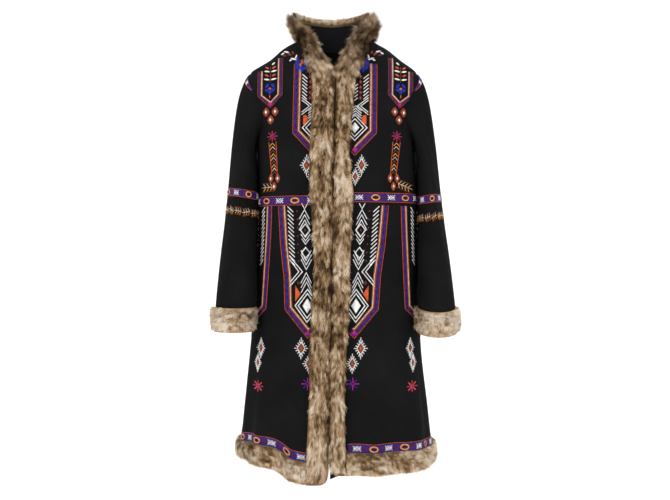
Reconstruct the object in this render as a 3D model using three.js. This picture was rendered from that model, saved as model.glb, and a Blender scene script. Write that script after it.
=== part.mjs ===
// A knee-length wool coat with a stand collar and fur trim, filled out as if worn, with nobody in it.
// Millimetres. +Z is up, the wearer faces -Y, and the wearer's left is +X.
// The origin is where the wearer carries it: the middle of the neck, level with the tops of the
// shoulder seams. Every panel and fur strip is a wall raised on a surface that its sizes work out,
// so neighbours share a seam.

import * as THREE from 'three';

// Cloth and seams
const CLOTH = 2.0;
const SEAM_GAP = 0.5;
const FUR_GAP = 0.7;
const COLLAR_FUR_GAP = 2.0;

// Body: middle and half width from side to side, and depth of the front and of the back, at each height
const BODY = [
  { height: 12, middle: -2, halfWidth: 52, front: 44, back: 50 },
  { height: 0, middle: -2, halfWidth: 78, front: 50, back: 58 },
  { height: -12, middle: -4, halfWidth: 105, front: 57, back: 66 },
  { height: -25, middle: -3, halfWidth: 128, front: 63, back: 74 },
  { height: -40, middle: -2, halfWidth: 146, front: 70, back: 82 },
  { height: -55, middle: -2, halfWidth: 164, front: 77, back: 89 },
  { height: -70, middle: -4, halfWidth: 187, front: 83, back: 95 },
  { height: -82, middle: -6, halfWidth: 202, front: 88, back: 99 },
  { height: -120, middle: -6, halfWidth: 209, front: 98, back: 107 },
  { height: -180, middle: -6, halfWidth: 199, front: 112, back: 112 },
  { height: -240, middle: -3, halfWidth: 190, front: 120, back: 110 },
  { height: -300, middle: 1, halfWidth: 192, front: 118, back: 102 },
  { height: -385, middle: 4, halfWidth: 193, front: 111, back: 92 },
  { height: -500, middle: 4, halfWidth: 195, front: 117, back: 104 },
  { height: -640, middle: 2, halfWidth: 201, front: 128, back: 122 },
  { height: -760, middle: -1, halfWidth: 209, front: 138, back: 134 },
  { height: -900, middle: 0, halfWidth: 224, front: 149, back: 145 },
  { height: -1060, middle: 0, halfWidth: 240, front: 160, back: 154 },
];
const SQUARENESS = 2.4;

// Skirt folds: where round the body, how wide and how proud each is at the hem, and where it starts
const FOLDS = [
  { turn: -154, spread: 10, swell: 10, start: -560 },
  { turn: -129, spread: 9, swell: -8, start: -600 },
  { turn: -105, spread: 10, swell: 8, start: -520 },
  { turn: -66, spread: 9, swell: -6, start: -640 },
  { turn: -48, spread: 9, swell: 7, start: -600 },
  { turn: -31, spread: 8, swell: -11, start: -700 },
  { turn: -15, spread: 8, swell: 6, start: -640 },
  { turn: 16, spread: 8, swell: 5, start: -700 },
  { turn: 31, spread: 8, swell: -8, start: -740 },
  { turn: 49, spread: 9, swell: 7, start: -560 },
  { turn: 70, spread: 9, swell: -5, start: -650 },
  { turn: 106, spread: 10, swell: 9, start: -540 },
  { turn: 131, spread: 9, swell: -7, start: -620 },
  { turn: 155, spread: 9, swell: 9, start: -580 },
  { turn: 180, spread: 9, swell: -7, start: -640 },
];
const HEM_LEVEL = -1030;

// Height of the cloth's lower edge round the body
const HEM = [
  { turn: -180, height: -1012 },
  { turn: -130, height: -1008 },
  { turn: -90, height: -1002 },
  { turn: -60, height: -1003 },
  { turn: -50, height: -1007 },
  { turn: -38, height: -1013 },
  { turn: -30, height: -1025 },
  { turn: -22, height: -1037 },
  { turn: -4, height: -1042 },
  { turn: 4, height: -1023 },
  { turn: 20, height: -1025 },
  { turn: 45, height: -1022 },
  { turn: 62, height: -1018 },
  { turn: 90, height: -1012 },
  { turn: 130, height: -1011 },
  { turn: 180, height: -1012 },
];

// Neck seam, armholes and front edges
const NECK_HALF = 78;
const NECK_FRONT_HALF = 46;
const NECK_FRONT_DROP = 92;
const NECK_BACK_DROP = 16;
const SHOULDER_DROP = 78;
const UNDERARM_DROP = 272;
const ARMHOLE_SCOOP = { depth: 32, power: 0.8 };
const FRONT_TOP = -97;
const FRONT_EDGE = { top: -1, bottom: -17, clear: 3 };

// Panel grids: rows to the foot of the neck seam, rows to the underarm, all rows, and columns from
// the middle to the side
const NECK_ROWS = 6;
const BACK_NECK_ROWS = 4;
const ARM_ROWS = 10;
const PANEL_ROWS = 26;
const PANEL_COLUMNS = 14;

// Sleeves: outer side, inner side of the right and the left one, middle and half of the depth, at each
// height below the sleeve cap
const SLEEVE = [
  { height: -340, outer: 255, innerRight: 186, innerLeft: 201.5, middle: -3, halfDepth: 76 },
  { height: -400, outer: 261, innerRight: 186, innerLeft: 202.8, middle: -8, halfDepth: 74 },
  { height: -460, outer: 266, innerRight: 186.5, innerLeft: 204, middle: -20, halfDepth: 70 },
  { height: -520, outer: 272, innerRight: 187, innerLeft: 201.5, middle: -38, halfDepth: 65 },
  { height: -580, outer: 278, innerRight: 187, innerLeft: 199.5, middle: -58, halfDepth: 60 },
  { height: -640, outer: 283, innerRight: 189, innerLeft: 195.5, middle: -77, halfDepth: 56 },
  { height: -700, outer: 285, innerRight: 192, innerLeft: 192, middle: -90, halfDepth: 52 },
  { height: -730, outer: 286, innerRight: 193, innerLeft: 193, middle: -95, halfDepth: 51 },
];
const CAP_ROWS = 7;
const SLEEVE_ROWS = 8;
const SLEEVE_END = -692;
const CAP_LEAVES = { top: 45, under: 13 };
const CAP_ARRIVES = { top: 120, under: 34, step: 20 };
const CAP_LEAVING = { sideways: 0.8, backwards: 0.12, up: -0.6 };
const SLEEVE_SHIFT = { cap: -5, cuff: -1 };
const CUFF_DIP = { left: 12, right: 1 };

// Collar: the fur's free edge from the foot of the V, round the side, to the middle of the back
const COLLAR = [
  { along: 0, x: 4, y: -95, height: -96 },
  { along: 0.12, x: 13, y: -97, height: -73 },
  { along: 0.22, x: 22, y: -92, height: -53 },
  { along: 0.31, x: 31, y: -84, height: -33 },
  { along: 0.4, x: 44, y: -70, height: -10 },
  { along: 0.49, x: 61, y: -50, height: 17 },
  { along: 0.58, x: 83, y: -23, height: 45 },
  { along: 0.68, x: 97, y: 10, height: 64 },
  { along: 0.79, x: 89, y: 49, height: 70 },
  { along: 0.9, x: 49, y: 80, height: 66 },
  { along: 1, x: 0, y: 90, height: 63 },
];
const COLLAR_LEAN = { foot: -4, top: -12, from: -96, over: 150 };
const COLLAR_CLOTH = 0.88;
const COLLAR_ROWS = 4;

// Fur on the front edges: how far from the middle line each strip reaches, at each height
const FRONT_WIDTHS = [
  { height: -97, left: 50, right: 57 },
  { height: -162, left: 44, right: 55 },
  { height: -210, left: 40, right: 56 },
  { height: -257, left: 36, right: 57 },
  { height: -290, left: 35, right: 57.5 },
  { height: -340, left: 40, right: 58 },
  { height: -372, left: 46, right: 57 },
  { height: -396, left: 48, right: 55 },
  { height: -430, left: 45, right: 50.5 },
  { height: -490, left: 43, right: 46.5 },
  { height: -537, left: 42, right: 43 },
  { height: -583, left: 41, right: 42 },
  { height: -612, left: 41, right: 45 },
  { height: -640, left: 41, right: 49 },
  { height: -690, left: 39, right: 47 },
  { height: -768, left: 36, right: 51 },
  { height: -830, left: 34, right: 48 },
  { height: -880, left: 35, right: 48.5 },
  { height: -950, left: 37, right: 51 },
  { height: -1030, left: 39, right: 53 },
];

// Fur: pile depth of each strip, and how each strip lies on the cloth
const FUR = {
  front: 22,
  collar: { left: 35, right: 22, back: 20 },
  hem: 14,
  cuff: { outer: 12, inner: 5 },
  lip: 2,
};
const FRONT_STRIP = { clear: 1, wander: 0.35, under: 0.2 };
const FRONT_STRIP_END = { height: 32, rounding: 15, thinning: 0.35 };
const COLLAR_JOINT = 0.07;
const HEM_STRIP = { above: 44, side: 28, power: 6, below: 8, clear: 1.5 };
const CUFF_STRIP = { top: -648, bottom: -704 };
const CUFF_OUTER_SHARE = 0.8;
const COLLAR_STRIP = { foot: 0.04, edge: 1.02, extra: 4, fullAt: 0.5, backFrom: 0.72 };
const FUR_COLUMNS = 6;

// Pile: how its depth rises and falls across a strip, in tufts along it and at the joints of the pelts.
// Lengths are in millimetres.
const PILE = { level: 0.93, roundness: 2.4 };
const TUFTS = [
  { height: 0.07, length: 17, slant: 2.1 },
  { height: 0.06, length: 7.3, slant: -3 },
];
const PELT_JOINT = { every: 228, depth: 0.2, width: 9 };
const EDGE_WAVES = [
  { reach: 1.6, length: 21, phase: 1 },
  { reach: 1.1, length: 9.7, phase: 2 },
];

// Length along each strip: where the count starts, and millimetres for each column, degree or whole side
const LENGTH = {
  front: { start: 60 },
  hem: { column: 24, backStart: 900 },
  cuff: { degree: 0.93, start: 40 },
  collar: { side: 330 },
};

// How far apart the points are that show which way a surface faces: turn or way, then height or down
const BODY_STEPS = [0.6, 1];
const SLEEVE_STEPS = [1.5, 0.015];
const COLLAR_STEPS = [0.01, 0.02];
const CAP_SHOWN_FROM = 0.02;

const WOOL = { color: 0x101011, roughness: 0.95, metalness: 0 };
const PELT = { color: 0x9a7a55, roughness: 0.9, metalness: 0 };

const DEGREE = Math.PI / 180;
const mix = (a, b, t) => a + (b - a) * t;
const ease = (t) => THREE.MathUtils.smoothstep(t, 0, 1);
const signedPower = (value, power) => Math.sign(value) * Math.abs(value) ** power;

// A column of a table at a key, on a smooth curve through its rows
function read(table, key, at, column) {
  const rising = table[1][key] > table[0][key] ? 1 : -1;
  const last = table.length - 1;
  let i = 0;
  while (i < last - 1 && rising * (at - table[i + 1][key]) > 0) i += 1;
  const slope = (j) => {
    const a = table[Math.max(j - 1, 0)];
    const b = table[Math.min(j + 1, last)];
    return (b[column] - a[column]) / (b[key] - a[key]);
  };
  const low = table[i];
  const high = table[i + 1];
  const span = high[key] - low[key];
  const t = THREE.MathUtils.clamp((at - low[key]) / span, 0, 1);
  const lift = t * t * (3 - 2 * t);
  const start = t * (1 - t) * (1 - t) * span * slope(i);
  const end = t * t * (1 - t) * span * slope(i + 1);
  return mix(low[column], high[column], lift) + start - end;
}

// The body's surface. Turn is 0 at the middle of the front, 90 at the wearer's left side and 180 at
// the back.
function foldSwell(turn, height) {
  let swell = 0;
  for (const fold of FOLDS) {
    const away = ((turn - fold.turn + 540) % 360) - 180;
    const grown = ease((fold.start - height) / (fold.start - HEM_LEVEL));
    swell += fold.swell * grown * Math.exp(-((away / fold.spread) ** 2));
  }
  return swell;
}

function bodyPoint(turn, height) {
  const swell = foldSwell(turn, height);
  const depth = read(BODY, 'height', height, Math.abs(turn) < 90 ? 'front' : 'back');
  const across = signedPower(Math.sin(turn * DEGREE), 2 / SQUARENESS);
  const fore = signedPower(Math.cos(turn * DEGREE), 2 / SQUARENESS);
  const halfWidth = read(BODY, 'height', height, 'halfWidth');
  const middle = read(BODY, 'height', height, 'middle');
  return new THREE.Vector3(middle + (halfWidth + swell) * across, -(depth + swell) * fore, height);
}

// The turn at which the front of the body has a given x
function turnAt(x, height) {
  const halfWidth = read(BODY, 'height', height, 'halfWidth');
  const share = (x - read(BODY, 'height', height, 'middle')) / halfWidth;
  return Math.asin(THREE.MathUtils.clamp(signedPower(share, SQUARENESS / 2), -1, 1)) / DEGREE;
}

const hemHeight = (turn) => read(HEM, 'turn', turn, 'height');

// A surface's outward direction, square to it, from its own neighbouring points
function outward(surface, u, v, [stepU, stepV]) {
  const alongU = surface(u + stepU, v).sub(surface(u - stepU, v));
  const alongV = surface(u, v + stepV).sub(surface(u, v - stepV));
  return alongU.cross(alongV).normalize();
}

const bodyOut = (turn, height) => outward(bodyPoint, turn, height, BODY_STEPS);

// The neck seam: quarter is 0 at the top of the shoulder seam and 1 at its end in front, or at the
// middle of the back
function neckFront(hand, quarter) {
  const angle = quarter * 90 * DEGREE;
  const height = -NECK_FRONT_DROP * Math.sin(angle) ** 2;
  const x = mix(NECK_FRONT_HALF, NECK_HALF, Math.cos(angle));
  return { turn: hand * turnAt(x, height), height };
}

function neckBack(hand, quarter) {
  const angle = quarter * 90 * DEGREE;
  const height = -NECK_BACK_DROP * Math.sin(angle);
  return { turn: hand * (180 - turnAt(NECK_HALF * Math.cos(angle), height)), height };
}

// The armhole, from the shoulder point (0) to the underarm (1), on the front or on the back
function armhole(hand, isBack, drop) {
  const scoop = ARMHOLE_SCOOP.depth * Math.sin(drop * Math.PI) ** ARMHOLE_SCOOP.power;
  return {
    turn: hand * (isBack ? 90 + scoop : 90 - scoop),
    height: -mix(SHOULDER_DROP, UNDERARM_DROP, drop),
  };
}

// The outer edge of a panel at a row: the armhole, then the side seam
function outerEdge(hand, isBack, row) {
  if (row <= ARM_ROWS) return armhole(hand, isBack, row / ARM_ROWS);
  const down = (row - ARM_ROWS) / (PANEL_ROWS - ARM_ROWS);
  return { turn: hand * 90, height: mix(-UNDERARM_DROP, hemHeight(hand * 90), down) };
}

// The middle line of the front, which wanders to the wearer's right on the way down
function frontLine(height) {
  const down = (FRONT_TOP - height) / (FRONT_TOP - HEM_LEVEL);
  return mix(FRONT_EDGE.top, FRONT_EDGE.bottom, Math.max(down, 0));
}

function centreHeight(row, neckRows, top, bottom) {
  if (row >= ARM_ROWS) {
    return mix(-UNDERARM_DROP, bottom, (row - ARM_ROWS) / (PANEL_ROWS - ARM_ROWS));
  }
  return mix(top, -UNDERARM_DROP, (row - neckRows) / (ARM_ROWS - neckRows));
}

function frontInnerEdge(hand, row) {
  if (row <= NECK_ROWS) return neckFront(hand, row / NECK_ROWS);
  const height = centreHeight(row, NECK_ROWS + 1, FRONT_TOP, hemHeight(0));
  return { turn: turnAt(frontLine(height) + hand * FRONT_EDGE.clear, height), height };
}

function backInnerEdge(hand, row) {
  if (row < BACK_NECK_ROWS) return neckBack(hand, row / BACK_NECK_ROWS);
  const height = centreHeight(row, BACK_NECK_ROWS, -NECK_BACK_DROP, hemHeight(180));
  return { turn: hand * 180, height };
}

// Closed solids: each place has a point, its outward direction, and how far in and out the wall reaches
function thicken(places, quads) {
  const count = places.length;
  const positions = new Float32Array(count * 6);
  places.forEach(({ at, out, low, high }, i) => {
    at.clone().addScaledVector(out, low).toArray(positions, i * 3);
    at.clone().addScaledVector(out, high).toArray(positions, (count + i) * 3);
  });
  const index = [];
  const edges = new Map();
  for (const [a, b, c, d] of quads) {
    index.push(a, c, b, a, d, c);
    index.push(count + a, count + b, count + c, count + a, count + c, count + d);
    for (const [p, q] of [[a, b], [b, c], [c, d], [d, a]]) {
      if (!edges.delete(`${q} ${p}`)) edges.set(`${p} ${q}`, [p, q]);
    }
  }
  for (const [p, q] of edges.values()) {
    index.push(p, q, count + q, p, count + q, count + p);
  }
  const geometry = new THREE.BufferGeometry();
  geometry.setAttribute('position', new THREE.BufferAttribute(positions, 3));
  geometry.setIndex(facingOut(positions, index));
  geometry.computeVertexNormals();
  return geometry;
}

// Turns every triangle round if they face inwards
function facingOut(positions, index) {
  const [a, b, c] = [new THREE.Vector3(), new THREE.Vector3(), new THREE.Vector3()];
  let volume = 0;
  for (let i = 0; i < index.length; i += 3) {
    a.fromArray(positions, index[i] * 3);
    b.fromArray(positions, index[i + 1] * 3);
    c.fromArray(positions, index[i + 2] * 3);
    volume += a.dot(b.cross(c));
  }
  return volume > 0 ? index : index.toReversed();
}

// The quads between rows of places. A ring's last column joins its first.
function quadsBetween(rows, ring = false) {
  const quads = [];
  for (let i = 0; i + 1 < rows.length; i += 1) {
    const width = rows[i].length;
    for (let j = 0; j + (ring ? 0 : 1) < width; j += 1) {
      const next = (j + 1) % width;
      quads.push([rows[i][j], rows[i][next], rows[i + 1][next], rows[i + 1][j]]);
    }
  }
  return quads;
}

function grid(rowCount, columnCount, place, ring = false) {
  const places = [];
  const rows = [];
  for (let i = 0; i < rowCount; i += 1) {
    rows.push([]);
    for (let j = 0; j < columnCount; j += 1) {
      rows[i].push(places.push(place(i, j)) - 1);
    }
  }
  return thicken(places, quadsBetween(rows, ring));
}

// Body panels
function clothPlace(turn, height, seam) {
  const at = bodyPoint(turn, height);
  at.y += seam * SEAM_GAP / 2;
  return { at, out: bodyOut(turn, height), low: -CLOTH, high: 0 };
}

function panelPlace(hand, isBack, row, column) {
  const inner = isBack ? backInnerEdge(hand, row) : frontInnerEdge(hand, row);
  const outer = outerEdge(hand, isBack, row);
  const share = column / PANEL_COLUMNS;
  const turn = mix(inner.turn, outer.turn, share);
  const down = (row - ARM_ROWS) / (PANEL_ROWS - ARM_ROWS);
  const height = row < ARM_ROWS
    ? mix(inner.height, outer.height, share)
    : mix(-UNDERARM_DROP, hemHeight(turn), down);
  const onSeam = row === 0 || (row >= ARM_ROWS && column === PANEL_COLUMNS);
  const seam = onSeam ? (isBack ? 1 : -1) : 0;
  return clothPlace(turn, height, seam);
}

function frontPanel(hand) {
  return grid(PANEL_ROWS + 1, PANEL_COLUMNS + 1, (row, column) => panelPlace(hand, false, row, column));
}

function backPanel() {
  const places = [];
  const quads = [];
  const halves = [-1, 1].map((hand) => {
    const rows = [];
    for (let row = 0; row <= PANEL_ROWS; row += 1) {
      rows.push([]);
      for (let column = 0; column <= PANEL_COLUMNS; column += 1) {
        rows[row].push(places.push(panelPlace(hand, true, row, column)) - 1);
      }
    }
    return rows;
  });
  for (let row = BACK_NECK_ROWS; row <= PANEL_ROWS; row += 1) halves[1][row][0] = halves[0][row][0];
  quads.push(...quadsBetween(halves[0].map((row) => row.toReversed())));
  quads.push(...quadsBetween(halves[1]));
  return thicken(...withoutSpares(places, quads));
}

function withoutSpares(places, quads) {
  const used = [...new Set(quads.flat())];
  const renamed = new Map(used.map((old, i) => [old, i]));
  return [used.map((old) => places[old]), quads.map((quad) => quad.map((old) => renamed.get(old)))];
}

// Sleeves. Round is 0 at the outer side, 180 at the inner side and 270 in front. Each column meets a
// row of the armhole.
const SLEEVE_COLUMNS = 2 * ARM_ROWS;

function sleeveRing(hand, round, height) {
  const outer = read(SLEEVE, 'height', height, 'outer');
  const inner = read(SLEEVE, 'height', height, hand > 0 ? 'innerLeft' : 'innerRight');
  const middle = read(SLEEVE, 'height', height, 'middle');
  const halfDepth = read(SLEEVE, 'height', height, 'halfDepth');
  const dip = hand > 0 ? CUFF_DIP.left : CUFF_DIP.right;
  const low = ease((SLEEVE[3].height - height) / (SLEEVE[3].height - SLEEVE_END));
  const fore = Math.sin(round * DEGREE);
  const lower = (SLEEVE[0].height - height) / (SLEEVE[0].height - SLEEVE_END);
  const shift = mix(SLEEVE_SHIFT.cap, SLEEVE_SHIFT.cuff, lower);
  return new THREE.Vector3(
    shift + hand * ((outer + inner) / 2 + ((outer - inner) / 2) * Math.cos(round * DEGREE)),
    middle + halfDepth * fore,
    height + dip * low * fore,
  );
}

function sleeveCap(hand, round, share) {
  const isBack = round < 180;
  const seam = armhole(hand, isBack, (isBack ? round : 360 - round) / 180);
  const upper = (1 + Math.cos(round * DEGREE)) / 2;
  const leaving = new THREE.Vector3(
    hand * CAP_LEAVING.sideways,
    CAP_LEAVING.backwards * Math.sin(round * DEGREE),
    CAP_LEAVING.up,
  ).normalize();
  const start = bodyPoint(seam.turn, seam.height).addScaledVector(leaving, SEAM_GAP);
  const end = sleeveRing(hand, round, SLEEVE[0].height);
  const leaves = mix(CAP_LEAVES.under, CAP_LEAVES.top, upper);
  const arrives = mix(CAP_ARRIVES.under, CAP_ARRIVES.top, upper);
  const below = sleeveRing(hand, round, SLEEVE[0].height - CAP_ARRIVES.step);
  const arriving = end.clone().sub(below).normalize();
  return new THREE.CubicBezierCurve3(
    start,
    start.clone().addScaledVector(leaving, leaves),
    end.clone().addScaledVector(arriving, arrives),
    end,
  ).getPoint(share);
}

// Down is 0 at the armhole, 1 where the cap ends, and 2 at the cuff
function sleevePoint(hand, round, down) {
  const wrapped = (round + 360) % 360;
  if (down <= 1) return sleeveCap(hand, wrapped, Math.max(down, 0));
  return sleeveRing(hand, wrapped, mix(SLEEVE[0].height, SLEEVE_END, down - 1));
}

function sleevePlace(hand, round, down, low, high) {
  const surface = (u, v) => sleevePoint(hand, u, v);
  const out = outward(surface, round, Math.max(down, CAP_SHOWN_FROM), SLEEVE_STEPS);
  return { at: surface(round, down), out: out.multiplyScalar(-hand), low, high };
}

function sleeve(hand) {
  return grid(CAP_ROWS + SLEEVE_ROWS + 1, SLEEVE_COLUMNS, (row, column) => {
    const down = row <= CAP_ROWS ? row / CAP_ROWS : 1 + (row - CAP_ROWS) / SLEEVE_ROWS;
    return sleevePlace(hand, column * 360 / SLEEVE_COLUMNS, down, -CLOTH, 0);
  }, true);
}

// Collar. Along runs from the foot of the V (0) to the middle of the back (1), and way goes on to the
// other foot (2). Up is 0 at the neck seam and 1 at the free edge of the fur.
const COLLAR_COLUMNS = NECK_ROWS + BACK_NECK_ROWS;
const SHOULDER_ALONG = NECK_ROWS / COLLAR_COLUMNS;

function collarFoot(hand, along) {
  const seam = along < SHOULDER_ALONG
    ? neckFront(hand, 1 - along / SHOULDER_ALONG)
    : neckBack(hand, (along - SHOULDER_ALONG) / (1 - SHOULDER_ALONG));
  return bodyPoint(seam.turn, seam.height);
}

function collarEdge(hand, along) {
  const height = read(COLLAR, 'along', along, 'height');
  const lean = mix(COLLAR_LEAN.foot, COLLAR_LEAN.top, ease((height - COLLAR_LEAN.from) / COLLAR_LEAN.over));
  return new THREE.Vector3(
    hand * read(COLLAR, 'along', along, 'x') + lean,
    read(COLLAR, 'along', along, 'y'),
    height,
  );
}

function collarPoint(way, up) {
  const hand = way <= 1 ? 1 : -1;
  const along = THREE.MathUtils.clamp(way <= 1 ? way : 2 - way, 0, 1);
  const foot = collarFoot(hand, along);
  const edge = collarEdge(hand, along);
  const clear = SEAM_GAP / foot.distanceTo(edge);
  return foot.lerp(edge, mix(clear, 1, up));
}

function collarPlace(way, up, low, high) {
  const inside = THREE.MathUtils.clamp(way, COLLAR_STEPS[0], 2 - COLLAR_STEPS[0]);
  const out = outward(collarPoint, inside, up, COLLAR_STEPS);
  return { at: collarPoint(way, up), out, low, high };
}

function collar() {
  return grid(2 * COLLAR_COLUMNS + 1, COLLAR_ROWS + 1, (row, column) => (
    collarPlace(row / COLLAR_COLUMNS, COLLAR_CLOTH * column / COLLAR_ROWS, -CLOTH, 0)
  ));
}

// Fur. Across is -1 and 1 at the edges of a strip, and length is measured along it in millimetres.
function pileDepth(across, length, deepest) {
  const crown = Math.sqrt(1 - Math.abs(across) ** PILE.roundness);
  let level = PILE.level;
  for (const tuft of TUFTS) level += tuft.height * Math.sin(length / tuft.length + tuft.slant * across);
  const joint = Math.abs(((length / PELT_JOINT.every + 0.5) % 1) - 0.5) * PELT_JOINT.every;
  level -= PELT_JOINT.depth * Math.exp(-((joint / PELT_JOINT.width) ** 2));
  return FUR.lip + (deepest - FUR.lip) * crown * level;
}

function edgeWander(length, phase) {
  let wander = 0;
  for (const wave of EDGE_WAVES) wander += wave.reach * Math.sin(length / wave.length + wave.phase * phase);
  return wander;
}

function furPlace(place, across, length, deepest, low = FUR_GAP) {
  return { ...place, low, high: low + pileDepth(across, length, deepest) };
}

function acrossAt(column) {
  return -Math.cos((column / FUR_COLUMNS) * Math.PI);
}

// A place part of the way from one to another, on the flat between them
function between(one, two, share) {
  return { at: one.at.clone().lerp(two.at, share), out: one.out.clone().lerp(two.out, share).normalize() };
}

// A place on a panel's own flats
function onPanel(hand, isBack, row, column) {
  const i = THREE.MathUtils.clamp(Math.floor(row), 0, PANEL_ROWS - 1);
  const j = THREE.MathUtils.clamp(Math.floor(column), 0, PANEL_COLUMNS - 1);
  const along = (at) => between(
    panelPlace(hand, isBack, at, j),
    panelPlace(hand, isBack, at, j + 1),
    column - j,
  );
  return between(along(i), along(i + 1), row - i);
}

// The column at which a row of a front panel reaches a given x
function columnAt(hand, row, x) {
  let column = 0;
  for (let step = 4; step > 0.001; step /= 2) {
    while (hand * (onPanel(hand, false, row, column + step).at.x - x) < 0) column += step;
  }
  return column;
}

// The outer edge of a front strip, which the hem strip meets
function frontStripEdge(hand, height) {
  return frontLine(height) + hand * read(FRONT_WIDTHS, 'height', height, hand > 0 ? 'left' : 'right');
}

function frontFur(hand) {
  const first = NECK_ROWS + 1 + COLLAR_JOINT;
  const rowHeight = (-UNDERARM_DROP - hemHeight(0)) / (PANEL_ROWS - ARM_ROWS);
  const last = PANEL_ROWS + HEM_STRIP.below / rowHeight;
  const halves = 2 * (PANEL_ROWS - NECK_ROWS - 1);
  const stops = Array.from({ length: halves }, (_, i) => NECK_ROWS + 1 + (i + 1) / 2);
  const rows = [first, ...stops, last];
  const bottom = onPanel(hand, false, last, 0).at.z;
  return grid(rows.length, FUR_COLUMNS + 1, (i, j) => {
    const row = rows[i];
    const height = onPanel(hand, false, row, 0).at.z;
    const across = acrossAt(j);
    const corner = THREE.MathUtils.clamp(1 - (height - bottom) / FRONT_STRIP_END.height, 0, 1);
    const rounding = FRONT_STRIP_END.rounding * (1 - Math.sqrt(1 - corner ** 2));
    const wander = FRONT_STRIP.wander * Math.abs(edgeWander(height, hand));
    const near = frontLine(height) + hand * (FRONT_STRIP.clear + rounding + wander);
    const x = mix(near, frontStripEdge(hand, height), (1 + across) / 2);
    const place = onPanel(hand, false, row, Math.max(columnAt(hand, row, x), -FRONT_STRIP.under));
    const deepest = FUR.front * (1 - FRONT_STRIP_END.thinning * corner ** 3);
    return furPlace(place, across, LENGTH.front.start * hand - height, deepest);
  });
}

// A strip along the hem of a panel, from one of its columns to the side or, on the back, to the other side
function hemFur(hand, isBack) {
  const rowHeight = (-UNDERARM_DROP - HEM_LEVEL) / (PANEL_ROWS - ARM_ROWS);
  const edge = frontStripEdge(hand, HEM_LEVEL) + hand * HEM_STRIP.clear;
  const start = isBack ? 0 : columnAt(hand, PANEL_ROWS, edge);
  const columns = Array.from({ length: PANEL_COLUMNS + 1 }, (_, j) => j).filter((j) => j > start + 0.02);
  const stops = [...columns.toReversed().map((column) => ({ side: isBack ? -1 : hand, column }))];
  if (isBack) stops.push({ side: 1, column: 0 }, ...columns.map((column) => ({ side: 1, column })));
  else stops.push({ side: hand, column: start });
  return grid(stops.length, FUR_COLUMNS + 1, (i, j) => {
    const { side, column } = stops[i];
    const across = acrossAt(j);
    const length = LENGTH.hem.column * column * side + (isBack ? LENGTH.hem.backStart : 0);
    const sideways = Math.sin((column / PANEL_COLUMNS) * 90 * DEGREE) ** HEM_STRIP.power;
    const above = mix(HEM_STRIP.above, HEM_STRIP.side, sideways) + edgeWander(length, 1);
    const down = mix(HEM_STRIP.below, -above, (1 + across) / 2) / rowHeight;
    return furPlace(onPanel(side, isBack, PANEL_ROWS + down, column), across, length, FUR.hem);
  });
}

function cuffFur(hand) {
  return grid(FUR_COLUMNS + 1, SLEEVE_COLUMNS, (row, column) => {
    const round = column * 360 / SLEEVE_COLUMNS;
    const across = acrossAt(row);
    const height = mix(CUFF_STRIP.top, CUFF_STRIP.bottom, (1 + across) / 2);
    const down = 1 + (SLEEVE[0].height - height) / (SLEEVE[0].height - SLEEVE_END);
    const outer = ease((1 + Math.cos(round * DEGREE)) * CUFF_OUTER_SHARE);
    const deepest = mix(FUR.cuff.inner, FUR.cuff.outer, outer);
    const place = sleevePlace(hand, round, down, 0, 0);
    return furPlace(place, across, round * LENGTH.cuff.degree + LENGTH.cuff.start, deepest);
  }, true);
}

function collarFur() {
  const rows = 2 * 2 * COLLAR_COLUMNS;
  return grid(rows + 1, FUR_COLUMNS + 1, (row, column) => {
    const across = acrossAt(column);
    const up = mix(COLLAR_STRIP.foot, COLLAR_STRIP.edge, (1 + across) / 2);
    const step = Math.min(Math.floor(row / 2), 2 * COLLAR_COLUMNS - 1);
    const way = row / (2 * COLLAR_COLUMNS);
    const side = way <= 1 ? FUR.collar.left : FUR.collar.right;
    const along = way <= 1 ? way : 2 - way;
    const raised = mix(FUR.front + COLLAR_STRIP.extra, side, ease(along / COLLAR_STRIP.fullAt));
    const backShare = ease((along - COLLAR_STRIP.backFrom) / (1 - COLLAR_STRIP.backFrom));
    const deepest = mix(raised, FUR.collar.back, backShare);
    const place = between(
      collarPlace(step / COLLAR_COLUMNS, up, 0, 0),
      collarPlace((step + 1) / COLLAR_COLUMNS, up, 0, 0),
      row / 2 - step,
    );
    return furPlace(place, across, way * LENGTH.collar.side, deepest, COLLAR_FUR_GAP);
  });
}

// The coat
const coat = new THREE.Group();

function add(name, geometry, finish) {
  const mesh = new THREE.Mesh(geometry, new THREE.MeshStandardMaterial(finish));
  mesh.name = name;
  coat.add(mesh);
}

const HANDS = [['left', 1], ['right', -1]];
for (const [name, hand] of HANDS) {
  add(`front_${name}`, frontPanel(hand), WOOL);
  add(`sleeve_${name}`, sleeve(hand), WOOL);
}
add('back', backPanel(), WOOL);
add('collar', collar(), WOOL);

for (const [name, hand] of HANDS) {
  add(`fur_front_${name}`, frontFur(hand), PELT);
  add(`fur_hem_${name}`, hemFur(hand, false), PELT);
  add(`fur_cuff_${name}`, cuffFur(hand), PELT);
}
add('fur_hem_back', hemFur(1, true), PELT);
add('fur_collar', collarFur(), PELT);

export default coat;
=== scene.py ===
"""The embroidered coat, dressed: wool panels, fur strips made of hairs, and embroidery on the cloth.

Lengths are in millimetres up to the moment a mesh is made, and the body is the same worked-out surface as the
part's, so every panel, hair and stitch lies where the solids are.
"""
import math
from functools import cache

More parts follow.
